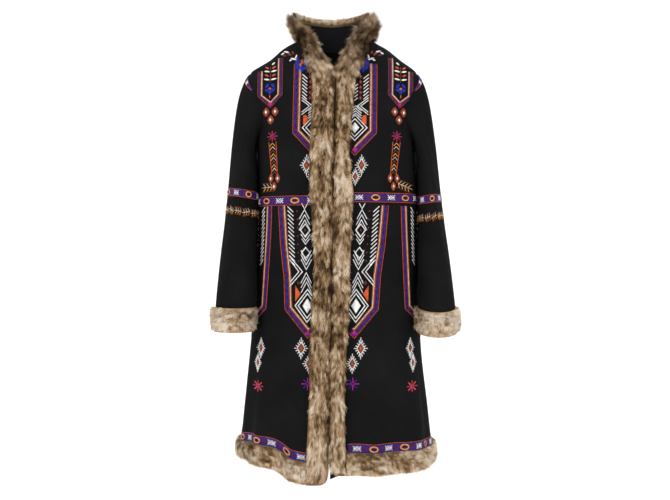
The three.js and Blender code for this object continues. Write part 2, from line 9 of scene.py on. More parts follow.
import bpy
import numpy as np
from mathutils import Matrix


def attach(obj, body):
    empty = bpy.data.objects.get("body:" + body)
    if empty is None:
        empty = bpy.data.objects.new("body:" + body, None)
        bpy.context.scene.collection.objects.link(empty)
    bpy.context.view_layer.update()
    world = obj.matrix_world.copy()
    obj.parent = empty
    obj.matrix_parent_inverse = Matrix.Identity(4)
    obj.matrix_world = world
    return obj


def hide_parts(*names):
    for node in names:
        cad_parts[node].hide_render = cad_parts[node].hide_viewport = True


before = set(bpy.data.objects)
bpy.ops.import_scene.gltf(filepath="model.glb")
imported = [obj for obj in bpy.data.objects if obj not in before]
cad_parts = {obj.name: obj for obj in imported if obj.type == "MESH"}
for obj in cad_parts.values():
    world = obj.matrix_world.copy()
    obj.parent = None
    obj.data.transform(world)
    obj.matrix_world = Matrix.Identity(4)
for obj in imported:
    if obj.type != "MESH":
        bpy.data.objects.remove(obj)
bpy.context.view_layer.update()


def table(names, *rows):
    """Rows of numbers, kept as one array for each named column."""
    return dict(zip(names.split(), np.array(rows, float).T))


def camera():
    """Straight on at the middle of the coat's height, far enough to bend the hem as much as the
    photo shows."""
    lens_data = bpy.data.cameras.new("camera")
    lens_data.sensor_width = 36
    lens_data.lens = 36 * CAMERA["away"] / CAMERA["view_width"]
    lens_data.clip_end = 40
    eye = bpy.data.objects.new("camera", lens_data)
    eye.location = [q / 1000 for q in (CAMERA["x"], -CAMERA["away"], CAMERA["height"])]
    eye.rotation_euler = (math.pi / 2, 0, 0)
    bpy.context.collection.objects.link(eye)
    bpy.context.scene.camera = eye


CAMERA = {"x": -2.5, "away": 2400, "height": -513.3, "view_width": 1641.5}
camera()

# The body: middle and half width from side to side, and depth of the front and of the back, at each
# height
BODY = table(
    "height middle half_width front back",
    (12, -2, 52, 44, 50),
    (0, -2, 78, 50, 58),
    (-12, -4, 105, 57, 66),
    (-25, -3, 128, 63, 74),
    (-40, -2, 146, 70, 82),
    (-55, -2, 164, 77, 89),
    (-70, -4, 187, 83, 95),
    (-82, -6, 202, 88, 99),
    (-120, -6, 209, 98, 107),
    (-180, -6, 199, 112, 112),
    (-240, -3, 190, 120, 110),
    (-300, 1, 192, 118, 102),
    (-385, 4, 193, 111, 92),
    (-500, 4, 195, 117, 104),
    (-640, 2, 201, 128, 122),
    (-760, -1, 209, 138, 134),
    (-900, 0, 224, 149, 145),
    (-1060, 0, 240, 160, 154),
)
SQUARENESS = 2.4

# Skirt folds: where round the body, how wide and how proud each is at the hem, and where it starts
FOLDS = table(
    "turn spread swell start",
    (-154, 10, 10, -560),
    (-129, 9, -8, -600),
    (-105, 10, 8, -520),
    (-66, 9, -6, -640),
    (-48, 9, 7, -600),
    (-31, 8, -11, -700),
    (-15, 8, 6, -640),
    (16, 8, 5, -700),
    (31, 8, -8, -740),
    (49, 9, 7, -560),
    (70, 9, -5, -650),
    (106, 10, 9, -540),
    (131, 9, -7, -620),
    (155, 9, 9, -580),
    (180, 9, -7, -640),
)
HEM_LEVEL = -1030

# Soft creases that the cloth takes besides: middle, half length and half width, lean in degrees of
# turn for each millimetre down, and how far each stands out or sinks in
CREASES = table(
    "turn height reach spread lean swell",
    (-62, -215, 60, 7, 0.10, -3.5),
    (-74, -250, 55, 6, 0.14, 2.5),
    (-48, -170, 50, 6, 0.06, 1.8),
    (58, -205, 55, 7, -0.09, -3.0),
    (72, -246, 60, 6, -0.13, 2.6),
    (44, -165, 45, 6, -0.05, 1.6),
    (-40, -420, 70, 8, 0.02, -1.8),
    (41, -430, 60, 8, -0.02, -1.6),
    (-55, -560, 120, 7, 0.00, 2.4),
    (57, -590, 130, 7, 0.01, 2.2),
    (-24, -880, 110, 4, 0.01, 2.2),
    (25, -905, 90, 4, -0.01, -1.8),
    (-57, -930, 90, 5, 0.00, -2.4),
    (60, -920, 100, 5, 0.00, 2.4),
    (118, -210, 60, 8, 0.10, -3.4),
    (-121, -222, 65, 8, -0.11, -3.2),
    (108, -250, 55, 6, 0.14, 2.4),
    (-106, -244, 50, 6, -0.12, 2.4),
    (146, -330, 80, 9, 0.03, -2.0),
    (-143, -345, 75, 9, -0.03, -2.2),
    (165, -120, 50, 9, 0.00, -1.6),
    (-163, -126, 45, 9, 0.00, -1.4),
    (140, -880, 120, 5, 0.01, 2.6),
    (-141, -900, 110, 5, 0.00, 2.4),
    (172, -860, 130, 5, 0.01, -2.0),
)

# Height of the cloth's lower edge round the body
HEM = table(
    "turn height",
    (-180, -1012),
    (-130, -1008),
    (-90, -1002),
    (-60, -1003),
    (-50, -1007),
    (-38, -1013),
    (-30, -1025),
    (-22, -1037),
    (-4, -1042),
    (4, -1023),
    (20, -1025),
    (45, -1022),
    (62, -1018),
    (90, -1012),
    (130, -1011),
    (180, -1012),
)

# Neck seam, armholes and front edges
CLOTH = 2.0
SEAM_GAP = 0.12
CUT_EDGE = math.radians(50)
NECK_HALF, NECK_FRONT_HALF = 78, 46
NECK_FRONT_DROP, NECK_BACK_DROP = 92, 16
SHOULDER_DROP, UNDERARM_DROP = 78, 272
ARMHOLE_SCOOP = {"depth": 32, "power": 0.8}
FRONT_TOP = -97
FRONT_EDGE = {"top": -1, "bottom": -17, "clear": 3}
NECK_ROWS, BACK_NECK_ROWS, ARM_ROWS, PANEL_ROWS = 6, 4, 10, 26

# Sleeves: outer and inner side, middle and half of the depth, at each height below the sleeve cap
SLEEVE = table(
    "height outer inner_right inner_left middle half_depth",
    (-340, 255, 183.2, 200.4, -3, 76),
    (-400, 261, 183.8, 200.4, -8, 74),
    (-460, 266, 185.2, 201, -20, 70),
    (-520, 272, 186.6, 198.6, -38, 65),
    (-580, 278, 187, 197.4, -58, 60),
    (-640, 283, 189, 195.5, -77, 56),
    (-700, 285, 192, 192, -90, 52),
    (-730, 286, 193, 193, -95, 51),
)
SLEEVE_END, CUFF_LEVEL = -692, -520
SLEEVE_SHIFT = {"cap": -5, "cuff": -1}
CUFF_DIP = {1: 12, -1: 1}
CAP_LEAVING = {"side": 0.8, "swing": 0.12, "down": -0.6}
CAP_LEAVES = {"top": 45, "under": 13}
CAP_ARRIVES = {"top": 120, "under": 34, "step": 20}
SLEEVE_REACH = (0.02, 3)
SLEEVE_CREASES_GROW = 0.25

# How far to each side a surface is read for its outward direction
BODY_STEPS, SLEEVE_STEPS, COLLAR_STEPS = (0.5, 0.8), (1.5, 0.012), (0.008, 0.02)

# Sleeve creases: round the sleeve, down it (1 where the cap ends, 2 at the cuff), and how deep
SLEEVE_CREASES = table(
    "round down spread reach lean swell",
    (262, 1.30, 22, 0.10, -30, -4.5),
    (248, 1.46, 20, 0.07, -60, -3.6),
    (286, 1.40, 20, 0.08, 40, 3.4),
    (318, 1.22, 18, 0.16, 20, -2.6),
    (300, 0.70, 20, 0.30, 30, -3.0),
    (330, 0.85, 16, 0.30, 10, 2.4),
    (232, 0.92, 20, 0.14, -50, 3.0),
    (240, 1.70, 22, 0.09, -40, 2.4),
    (292, 1.82, 20, 0.08, 30, -2.2),
    (350, 1.45, 14, 0.30, 0, 2.2),
    (70, 0.75, 20, 0.28, -20, -3.0),
    (96, 1.35, 22, 0.12, 30, 2.6),
    (120, 1.50, 22, 0.10, 40, -2.8),
    (60, 1.75, 20, 0.14, -20, 2.0),
)

# Collar: the fur's free edge from the foot of the V, round the side, to the middle of the back
COLLAR = table(
    "along x y height",
    (0, 4, -95, -96),
    (0.12, 13, -97, -73),
    (0.22, 22, -92, -53),
    (0.31, 31, -84, -33),
    (0.4, 44, -70, -10),
    (0.49, 61, -50, 17),
    (0.58, 83, -23, 45),
    (0.68, 97, 10, 64),
    (0.79, 89, 49, 70),
    (0.9, 49, 80, 66),
    (1, 0, 90, 63),
)
COLLAR_LEAN = {"foot": -4, "top": -12, "from": -96, "over": 150}
COLLAR_UP = {"foot": -0.025, "cloth": 0.88}
COLLAR_ENDS = (0.01, 1.99)
SHOULDER_ALONG = NECK_ROWS / (NECK_ROWS + BACK_NECK_ROWS)


def mix(a, b, share):
    return a + (b - a) * share


def ease(share):
    """3t^2 - 2t^3 of a share held between 0 and 1."""
    t = np.clip(share, 0, 1)
    return t * t * (3 - 2 * t)


def read(sheet, key, at, column):
    """A column of a table on a smooth curve through its rows, each row's slope being its
    neighbours' slope."""
    keys, values = sheet[key], sheet[column]
    if keys[0] > keys[-1]:
        keys, values = keys[::-1], values[::-1]
    last = len(keys) - 1
    before, after = np.maximum(np.arange(last + 1) - 1, 0), np.minimum(np.arange(last + 1) + 1, last)
    slope = (values[after] - values[before]) / (keys[after] - keys[before])
    i = np.clip(np.searchsorted(keys, at) - 1, 0, last - 1)
    span = keys[i + 1] - keys[i]
    t = np.clip((at - keys[i]) / span, 0, 1)
    bent = t * (1 - t) ** 2 * span * slope[i] - t * t * (1 - t) * span * slope[i + 1]
    return mix(values[i], values[i + 1], ease(t)) + bent


def signed_power(value, power):
    return np.sign(value) * np.abs(value) ** power


def swell_at(turn, height):
    """Sum of the folds, each a bell across the turn that grows from its start to the hem, and of
    the creases, each a bell across the turn and down the height, whose middle leans with the
    height."""
    turn, height = np.broadcast_arrays(np.asarray(turn, float), np.asarray(height, float))
    around, down = turn[..., None], height[..., None]
    away = (around - FOLDS["turn"] + 540) % 360 - 180
    grown = ease((FOLDS["start"] - down) / (FOLDS["start"] - HEM_LEVEL))
    folds = FOLDS["swell"] * grown * np.exp(-((away / FOLDS["spread"]) ** 2))
    fall = down - CREASES["height"]
    astray = (around - CREASES["turn"] + CREASES["lean"] * fall + 540) % 360 - 180
    bells = np.exp(-((astray / CREASES["spread"]) ** 2) - (fall / CREASES["reach"]) ** 2)
    return folds.sum(-1) + (CREASES["swell"] * bells).sum(-1)


def body_point(turn, height):
    """A superellipse round the body: x is the half width times sin^(2/n) of the turn, y is minus
    the depth times cos^(2/n), and the swell adds to both."""
    swell = swell_at(turn, height)
    angle = np.radians(turn)
    fore = signed_power(np.cos(angle), 2 / SQUARENESS)
    across = signed_power(np.sin(angle), 2 / SQUARENESS)
    depth = np.where(fore > 0, read(BODY, "height", height, "front"), read(BODY, "height", height, "back"))
    x = read(BODY, "height", height, "middle") + (read(BODY, "height", height, "half_width") + swell) * across
    return np.stack(np.broadcast_arrays(x, -(depth + swell) * fore, np.asarray(height, float)), -1)


def turn_at(x, height):
    """The turn at which the front has a given x: the arcsine of its share of the half width to the
    power n/2, found again with the swell that is there."""
    turn = np.zeros(np.broadcast(x, height).shape)
    for _ in range(4):
        half_width = read(BODY, "height", height, "half_width") + swell_at(turn, height)
        share = (x - read(BODY, "height", height, "middle")) / half_width
        turn = np.degrees(np.arcsin(np.clip(signed_power(share, SQUARENESS / 2), -1, 1)))
    return turn


def hem_height(turn):
    return read(HEM, "turn", (np.asarray(turn) + 180) % 360 - 180, "height")


def laid(surface, u, v, step_u, step_v, facing=1):
    """Points of a surface and their outward directions, which are the cross product of its two
    slopes."""
    u, v = np.broadcast_arrays(np.asarray(u, float), np.asarray(v, float))
    along_u = surface(u + step_u, v) - surface(u - step_u, v)
    along_v = surface(u, v + step_v) - surface(u, v - step_v)
    out = np.cross(along_u, along_v) * facing
    return surface(u, v), out / np.maximum(np.linalg.norm(out, axis=-1, keepdims=True), 1e-9)


def body_laid(turn, height):
    return laid(body_point, turn, height, *BODY_STEPS)


def front_line(height):
    """The middle of the front, which wanders to the wearer's right on the way down."""
    down = np.maximum((FRONT_TOP - height) / (FRONT_TOP - HEM_LEVEL), 0)
    return mix(FRONT_EDGE["top"], FRONT_EDGE["bottom"], down)


def neck_front(hand, quarter):
    """A quarter turn from the shoulder seam down to the foot of the front neck."""
    angle = quarter * math.pi / 2
    height = -NECK_FRONT_DROP * np.sin(angle) ** 2
    return hand * turn_at(mix(NECK_FRONT_HALF, NECK_HALF, np.cos(angle)), height), height


def neck_back(hand, quarter):
    """A quarter turn from the shoulder seam to the middle of the back neck."""
    angle = quarter * math.pi / 2
    height = -NECK_BACK_DROP * np.sin(angle)
    return hand * (180 - turn_at(NECK_HALF * np.cos(angle), height)), height


def armhole(hand, is_back, drop):
    """From the shoulder point (0) to the underarm (1), scooped in from the side by a power of a
    half sine."""
    scoop = ARMHOLE_SCOOP["depth"] * np.maximum(np.sin(drop * math.pi), 0) ** ARMHOLE_SCOOP["power"]
    return hand * (90 + np.where(is_back, scoop, -scoop)), -mix(SHOULDER_DROP, UNDERARM_DROP, drop)


def panel_point(hand, is_back, row, share):
    """A half of the front or of the back. Rows run from the shoulder seam to the hem, and the share
    from the neck and middle line (0) to the armhole and side seam (1)."""
    arm_turn, arm_height = armhole(hand, is_back, np.clip(row / ARM_ROWS, 0, 1))
    down = np.maximum(row - ARM_ROWS, 0) / (PANEL_ROWS - ARM_ROWS)
    neck_rows = BACK_NECK_ROWS if is_back else NECK_ROWS
    neck = (neck_back if is_back else neck_front)(hand, np.clip(row / neck_rows, 0, 1))
    start = neck_rows if is_back else NECK_ROWS + 1
    top = -NECK_BACK_DROP if is_back else FRONT_TOP
    middle_height = mix(top, -UNDERARM_DROP, np.clip((row - start) / (ARM_ROWS - start), 0, 1))
    lower = mix(-UNDERARM_DROP, hem_height(180 if is_back else 0), down)
    middle_height = np.where(row > ARM_ROWS, lower, middle_height)
    middle_turn = hand * 180.0
    if not is_back:
        middle_turn = turn_at(front_line(middle_height) + hand * FRONT_EDGE["clear"], middle_height)
    joined = row >= neck_rows if is_back else np.clip(row - neck_rows, 0, 1)
    inner_turn = mix(neck[0], middle_turn, joined)
    inner_height = mix(neck[1], middle_height, joined)
    turn = mix(inner_turn, arm_turn, share)
    hem_side = mix(-UNDERARM_DROP, hem_height(turn), down)
    height = np.where(row < ARM_ROWS, mix(inner_height, arm_height, share), hem_side)
    return turn, height


def sleeve_ring(hand, around, height):
    """An ellipse round the arm, with its front lower than its back by the dip as it nears the
    cuff."""
    angle = np.radians(around)
    outer = read(SLEEVE, "height", height, "outer")
    inner = read(SLEEVE, "height", height, "inner_left" if hand > 0 else "inner_right")
    lower = (SLEEVE["height"][0] - height) / (SLEEVE["height"][0] - SLEEVE_END)
    dip = CUFF_DIP[hand] * ease((CUFF_LEVEL - height) / (CUFF_LEVEL - SLEEVE_END))
    x = mix(SLEEVE_SHIFT["cap"], SLEEVE_SHIFT["cuff"], lower)
    x = x + hand * ((outer + inner) / 2 + (outer - inner) / 2 * np.cos(angle))
    y = read(SLEEVE, "height", height, "middle")
    y = y + read(SLEEVE, "height", height, "half_depth") * np.sin(angle)
    return np.stack(np.broadcast_arrays(x, y, height + dip * np.sin(angle)), -1)


def unit(vectors):
    return vectors / np.maximum(np.linalg.norm(vectors, axis=-1, keepdims=True), 1e-9)


def sleeve_smooth(hand, around, down):
    """Down to 1, a cubic Bezier from the armhole to the first ring, leaving along the shoulder's
    slope and arriving along the sleeve. From 1 to 2, the rings down to the cuff."""
    around = np.asarray(around, float) % 360
    is_back = around < 180
    turn, height = armhole(hand, is_back, np.where(is_back, around, 360 - around) / 180)
    angle = np.radians(around)
    upper = ((1 + np.cos(angle)) / 2)[..., None]
    sideways = np.full(around.shape, hand * CAP_LEAVING["side"])
    downwards = np.full(around.shape, CAP_LEAVING["down"])
    leaving = unit(np.stack([sideways, CAP_LEAVING["swing"] * np.sin(angle), downwards], -1))
    start = body_point(turn, height) + leaving * SEAM_GAP
    top = np.full(around.shape, SLEEVE["height"][0])
    end = sleeve_ring(hand, around, top)
    arriving = unit(end - sleeve_ring(hand, around, top - CAP_ARRIVES["step"]))
    leaves = mix(CAP_LEAVES["under"], CAP_LEAVES["top"], upper)
    arrives = mix(CAP_ARRIVES["under"], CAP_ARRIVES["top"], upper)
    t = np.clip(down, 0, 1)[..., None]
    s = 1 - t
    cap = s**3 * start + 3 * s * s * t * (start + leaving * leaves)
    cap = cap + 3 * s * t * t * (end + arriving * arrives) + t**3 * end
    ring = sleeve_ring(hand, around, mix(SLEEVE["height"][0], SLEEVE_END, np.maximum(down - 1, 0)))
    return np.where(np.asarray(down)[..., None] <= 1, cap, ring)


def sleeve_crease(around, down):
    """Sum of bells round and down the sleeve, whose middle leans as they go down."""
    around, down = np.asarray(around, float)[..., None], np.asarray(down, float)[..., None]
    fall = down - SLEEVE_CREASES["down"]
    astray = (around - SLEEVE_CREASES["round"] - SLEEVE_CREASES["lean"] * fall + 540) % 360 - 180
    bells = np.exp(-((astray / SLEEVE_CREASES["spread"]) ** 2) - (fall / SLEEVE_CREASES["reach"]) ** 2)
    return (SLEEVE_CREASES["swell"] * bells).sum(-1)


def sleeve_laid(hand, around, down):
    """The smooth sleeve, moved out or in by its creases, and its outward directions."""

    def plain(u, v):
        return sleeve_smooth(hand, u, v)

    def creased(u, v):
        _, out = laid(plain, u, np.clip(v, *SLEEVE_REACH), *SLEEVE_STEPS, -hand)
        return plain(u, v) + out * (sleeve_crease(u, v) * ease(v / SLEEVE_CREASES_GROW))[..., None]

    around, down = np.broadcast_arrays(np.asarray(around, float), np.asarray(down, float))
    _, out = laid(creased, around, np.clip(down, *SLEEVE_REACH), *SLEEVE_STEPS, -hand)
    return creased(around, down), out


def sleeve_down(height):
    """The share down the sleeve's rings at a height: 1 at the first of them, 2 at the cuff."""
    return 1 + (SLEEVE["height"][0] - height) / (SLEEVE["height"][0] - SLEEVE_END)


def collar_point(way, up):
    """Straight lines from the neck seam to the collar's free edge. Way runs from the wearer's left
    foot of the V (0) round the back (1) to the right one (2), and up from the seam (0) to the edge
    of the fur (1)."""
    way, up = np.broadcast_arrays(np.asarray(way, float), np.asarray(up, float))
    hand = np.where(way <= 1, 1, -1)
    along = np.clip(np.where(way <= 1, way, 2 - way), 0, 1)
    front_turn, front_height = neck_front(hand, 1 - np.clip(along / SHOULDER_ALONG, 0, 1))
    back_turn, back_height = neck_back(hand, np.clip((along - SHOULDER_ALONG) / (1 - SHOULDER_ALONG), 0, 1))
    in_front = along < SHOULDER_ALONG
    foot_height = np.where(in_front, front_height, back_height)
    foot = body_point(np.where(in_front, front_turn, back_turn), foot_height)
    height = read(COLLAR, "along", along, "height")
    risen = ease((height - COLLAR_LEAN["from"]) / COLLAR_LEAN["over"])
    lean = mix(COLLAR_LEAN["foot"], COLLAR_LEAN["top"], risen)
    edge_x = hand * read(COLLAR, "along", along, "x") + lean
    edge = np.stack([edge_x, read(COLLAR, "along", along, "y"), height], -1)
    clear = SEAM_GAP / np.linalg.norm(edge - foot, axis=-1)
    return mix(foot, edge, mix(clear, 1, up)[..., None])


def collar_laid(way, up):
    _, out = laid(collar_point, np.clip(way, *COLLAR_ENDS), up, *COLLAR_STEPS)
    return collar_point(way, up), out


def six_volumes(points, block):
    """Six times the volume between the origin and a block of faces of three or four corners, signed
    by the way that they face."""
    corners = points[block]
    fans = ((1, 2), (2, 3))[:block.shape[1] - 2]
    return sum(np.einsum("ij,ij->", corners[:, 0], np.cross(corners[:, a], corners[:, b])) for a, b in fans)


def piece(name, points, faces, materials, uv=None, kinds=None, turn=True):
    """A mesh from arrays: points in millimetres, faces as arrays of three or four corners, and a
    place on the UV map for every point. A closed mesh whose faces point inwards is turned round."""
    points = np.asarray(points, float)
    if turn and sum(six_volumes(points, block) for block in faces) < 0:
        faces = [block[:, ::-1] for block in faces]
    sides = np.concatenate([np.full(len(block), block.shape[1]) for block in faces])
    corners = np.concatenate([block.ravel() for block in faces]).astype(np.int32)
    mesh = bpy.data.meshes.new(name)
    mesh.vertices.add(len(points))
    mesh.vertices.foreach_set("co", (points / 1000).ravel())
    mesh.loops.add(len(corners))
    mesh.loops.foreach_set("vertex_index", corners)
    mesh.polygons.add(len(sides))
    mesh.polygons.foreach_set("loop_start", np.r_[0, np.cumsum(sides)[:-1]].astype(np.int32))
    mesh.polygons.foreach_set("use_smooth", np.ones(len(sides), bool))
    for material in materials:
        mesh.materials.append(material)
    if kinds is not None:
        mesh.polygons.foreach_set("material_index", np.asarray(kinds, np.int32))
    if uv is not None:
        layer = mesh.uv_layers.new(name="along_and_across")
        layer.data.foreach_set("uv", (np.asarray(uv, float)[corners] / 1000).ravel())
    mesh.update(calc_edges=True)
    thing = bpy.data.objects.new(name, mesh)
    bpy.context.collection.objects.link(thing)
    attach(thing, "root")
    return thing


def squares(rows, columns, ring=False, first=0):
    """The squares of a grid of points, whose last column joins the first on a ring."""
    index = first + np.arange(rows * columns).reshape(rows, columns)
    right = np.roll(index, -1, 1)
    if not ring:
        index, right = index[:, :-1], right[:, :-1]
    return np.stack([index[:-1], right[:-1], right[1:], index[1:]], -1).reshape(-1, 4)


def wall(outer, inner, ring=False):
    """A closed wall between two grids: both grids' squares, and squares between their free
    edges."""
    rows, columns = outer.shape[:2]
    count = rows * columns
    index = np.arange(count).reshape(rows, columns)
    edges = [index[0], index[-1][::-1]]
    if ring:
        edges = [np.r_[index[0], index[0, 0]], np.r_[index[-1], index[-1, 0]][::-1]]
    else:
        edges += [index[::-1, 0], index[:, -1]]
    rims = [np.stack([edge[1:], edge[:-1], edge[:-1] + count, edge[1:] + count], -1) for edge in edges]
    outside, inside = squares(rows, columns, ring), squares(rows, columns, ring, count)[:, ::-1]
    faces = np.concatenate([outside, inside, *rims])
    return np.concatenate([outer.reshape(-1, 3), inner.reshape(-1, 3)]), [faces]


def cloth_mesh(name, points, faces):
    """A piece of wool with crisp cut edges, which takes the place of its plain solid."""
    thing = piece(f"wool_{name}", points, faces, [wool()])
    thing.data.set_sharp_from_angle(angle=CUT_EDGE)
    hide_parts(name)
    return thing


def cloth_piece(name, point, out, ring=False):
    """A wall of cloth: the outer face moved in along its own outward directions."""
    return cloth_mesh(name, *wall(point, point - out * CLOTH, ring))


# Materials
def new_material(name):
    material = bpy.data.materials.new(name)
    material.use_nodes = True
    nodes, links = material.node_tree.nodes, material.node_tree.links
    return material, nodes, links, nodes["Principled BSDF"]


def add(nodes, kind, **values):
    node = nodes.new(kind)
    for key, value in values.items():
        if key in node.inputs:
            node.inputs[key].default_value = value
        else:
            setattr(node, key, value)
    return node


def set_inputs(node, **values):
    """Values of a node's inputs, with an underscore for each space in an input's name."""
    for key, value in values.items():
        node.inputs[key.replace("_", " ")].default_value = value


def ramp(nodes, *stops):
    """A colour ramp from places and colours."""
    node = nodes.new("ShaderNodeValToRGB")
    while len(node.color_ramp.elements) < len(stops):
        node.color_ramp.elements.new(0.5)
    for element, (place, colour) in zip(node.color_ramp.elements, stops):
        element.position = place
        element.color = (*colour, 1)
    return node


def texture(nodes, links, kind, **values):
    """A texture in the object's own coordinates."""
    node = add(nodes, kind, **values)
    place = add(nodes, "ShaderNodeTexCoord")
    links.new(place.outputs["Object"], node.inputs["Vector"])
    return node.outputs["Fac"]


def scaled(nodes, links, value, by, plus=None):
    """A value times a number, plus another value where there is one."""
    node = add(nodes, "ShaderNodeMath", operation="MULTIPLY" if plus is None else "MULTIPLY_ADD")
    node.inputs[1].default_value = by
    links.new(value, node.inputs[0])
    if plus is not None:
        links.new(plus, node.inputs[2])
    return node.outputs["Value"]


def relief(nodes, links, height, shader, strength, distance):
    """Fine bumps from a height."""
    bump = add(nodes, "ShaderNodeBump", Strength=strength, Distance=distance)
    links.new(height, bump.inputs["Height"])
    links.new(bump.outputs["Normal"], shader.inputs["Normal"])


@cache
def wool():
    """Black felted wool: a soft nap of small clumps over a faint twill, and a dull sheen."""
    material, nodes, links, shader = new_material("felted_wool")
    clumps = texture(nodes, links, "ShaderNodeTexNoise", Scale=420.0, Detail=4.0, Roughness=0.65)
    broad = texture(nodes, links, "ShaderNodeTexNoise", Scale=11.0, Detail=3.0, Roughness=0.5)
    twill = texture(nodes, links, "ShaderNodeTexWave", Scale=260.0, Distortion=1.5,
                    bands_direction="DIAGONAL")
    tone = ramp(nodes, (0.3, (0.0030, 0.0030, 0.0034)), (0.7, (0.0085, 0.0082, 0.0088)))
    blend = scaled(nodes, links, clumps, 0.5, scaled(nodes, links, broad, 0.5))
    links.new(blend, tone.inputs["Fac"])
    links.new(tone.outputs["Color"], shader.inputs["Base Color"])
    relief(nodes, links, scaled(nodes, links, twill, 0.25, clumps), shader, 0.35, 0.0006)
    set_inputs(shader, Roughness=0.92, IOR=1.2, Specular_IOR_Level=0.25)
    return material


THREADS = {
    "white": (0.74, 0.74, 0.72),
    "cream": (0.56, 0.45, 0.33),
    "violet": (0.050, 0.012, 0.085),
    "blue": (0.010, 0.022, 0.26),
    "magenta": (0.38, 0.012, 0.15),
    "orange": (0.50, 0.085, 0.022),
    "yellow": (0.74, 0.32, 0.05),
    "copper": (0.20, 0.045, 0.020),
    "burgundy": (0.13, 0.018, 0.020),
    "ink": (0.012, 0.010, 0.016),
}
THREAD_ORDER = list(THREADS)


@cache
def thread(dye):
    """Embroidery thread: fine stitches across each ridge, a little uneven in colour, with a soft
    sheen."""
    material, nodes, links, shader = new_material(f"thread_{dye}")
    colour = np.array(THREADS[dye])
    along = add(nodes, "ShaderNodeUVMap", uv_map="along_and_across")
    strands = add(nodes, "ShaderNodeTexWave", Scale=420.0, Distortion=1.2, Detail=1.0)
    links.new(along.outputs["UV"], strands.inputs["Vector"])
    uneven = texture(nodes, links, "ShaderNodeTexNoise", Scale=160.0, Detail=3.0)
    tone = ramp(nodes, (0.28, tuple(colour * 0.62)), (0.72, tuple(np.minimum(colour * 1.22, 0.9))))
    links.new(uneven, tone.inputs["Fac"])
    links.new(tone.outputs["Color"], shader.inputs["Base Color"])
    relief(nodes, links, strands.outputs["Fac"], shader, 0.5, 0.0004)
    set_inputs(shader, Roughness=0.55, IOR=1.2)
    return material


@cache
def hair():
    """Rabbit hair: each hair's own colour, from its root to its tip, with a low shine."""
    material, nodes, links, shader = new_material("hair")
    dye = add(nodes, "ShaderNodeAttribute", attribute_name="dye")
    grain = texture(nodes, links, "ShaderNodeTexNoise", Scale=900.0, Detail=2.0)
    light = ramp(nodes, (0.25, (0.72, 0.72, 0.72)), (0.75, (1, 1, 1)))
    links.new(grain, light.inputs["Fac"])
    blend = add(nodes, "ShaderNodeMix", data_type="RGBA", blend_type="MULTIPLY", Factor=1.0)
    links.new(dye.outputs["Color"], blend.inputs[6])
    links.new(light.outputs["Color"], blend.inputs[7])
    links.new(blend.outputs[2], shader.inputs["Base Color"])
    set_inputs(shader, Roughness=0.55, IOR=1.25)
    return material


# Wool panels
PANEL_GRID, SLEEVE_GRID, COLLAR_GRID = (118, 44), (96, 64), (121, 14)


def panel_laid(hand, is_back):
    """A half of the front or of the back, as a grid of points and outward directions."""
    rows, columns = PANEL_GRID
    row = np.round(np.linspace(0, PANEL_ROWS, rows), 9)[:, None]
    share = np.linspace(0, 1, columns)[None]
    return body_laid(*panel_point(hand, is_back, *np.broadcast_arrays(row, share)))


def back(name):
    """Both halves of the back, closed up along the middle below the neck."""
    rows, columns = PANEL_GRID
    points, faces, count = [], [], 0
    for hand in (-1, 1):
        point, out = panel_laid(hand, True)
        shell, (block,) = wall(point, point - out * CLOTH)
        inner_edge = np.arange(rows) * columns
        shut = np.isin(block, np.r_[inner_edge, inner_edge + rows * columns]).all(1)
        neck_end = BACK_NECK_ROWS * (rows - 1) / PANEL_ROWS - 0.5
        below = (block % (rows * columns) // columns >= neck_end).all(1)
        block = block[~(shut & below)]
        points.append(shell)
        faces.append((block if hand > 0 else block[:, ::-1]) + count)
        count += len(shell)
    points, faces = np.concatenate(points), np.concatenate(faces)
    _, kept, renamed = np.unique(np.round(points, 3), axis=0, return_index=True, return_inverse=True)
    return cloth_mesh(name, points[kept], [renamed.ravel()[faces]])


def sleeve(name, hand):
    rows, columns = SLEEVE_GRID
    down = np.linspace(0, 2, rows)[:, None]
    around = np.linspace(0, 360, columns, endpoint=False)[None]
    return cloth_piece(name, *sleeve_laid(hand, around, down), ring=True)


def collar(name):
    rows, columns = COLLAR_GRID
    way = np.linspace(0, 2, rows)[:, None]
    up = np.linspace(COLLAR_UP["foot"], COLLAR_UP["cloth"], columns)[None]
    return cloth_piece(name, *collar_laid(way, up))


# Fur
FUR_DEPTH = {"front": 22, "collar_left": 35, "collar_right": 22, "collar_back": 20, "hem": 14}
CUFF_DEPTH = {"outer": 12, "inner": 5}
FRONT_WIDTHS = table(
    "height left right",
    (-97, 50, 57),
    (-162, 44, 55),
    (-210, 40, 56),
    (-257, 36, 57),
    (-290, 35, 57.5),
    (-340, 40, 58),
    (-372, 46, 57),
    (-396, 48, 55),
    (-430, 45, 50.5),
    (-490, 43, 46.5),
    (-537, 42, 43),
    (-583, 41, 42),
    (-612, 41, 45),
    (-640, 41, 49),
    (-690, 39, 47),
    (-768, 36, 51),
    (-830, 34, 48),
    (-880, 35, 48.5),
    (-950, 37, 51),
    (-1030, 39, 53),
)
STRIP_FOOT = {"turn": 10, "tall": 32, "wide": 15, "clear": 0.3, "last": 28, "thinner": 0.35}
HEM_STRIP = {"above": 44, "side": 28, "power": 6, "below": 8}
CUFF_STRIP = {"top": -648, "bottom": -704}
PELT_LENGTH = 228

# The skin under the hairs: its grid, how its crown rounds off, how far up the pile it lies, its
# lumps and joints
SKIN = {"columns": 15, "edge": 2.3, "crown": 0.62, "lip": 2.0, "foot": 1.2, "rise": 0.55, "base": 0.5,
        "level": 0.92, "waves": 0.09, "lumps": 0.10, "joint": 0.30, "joint_reach": 7, "tilt": 0.35}
# Locks: how far hairs stray from theirs, random values kept, and how much their tips are drawn to
# its middle
LOCK = {"wander": 1.6, "stray": 2.0, "kept": (67, 59), "off": 0.25, "draw": 0.6, "lean": 0.16}
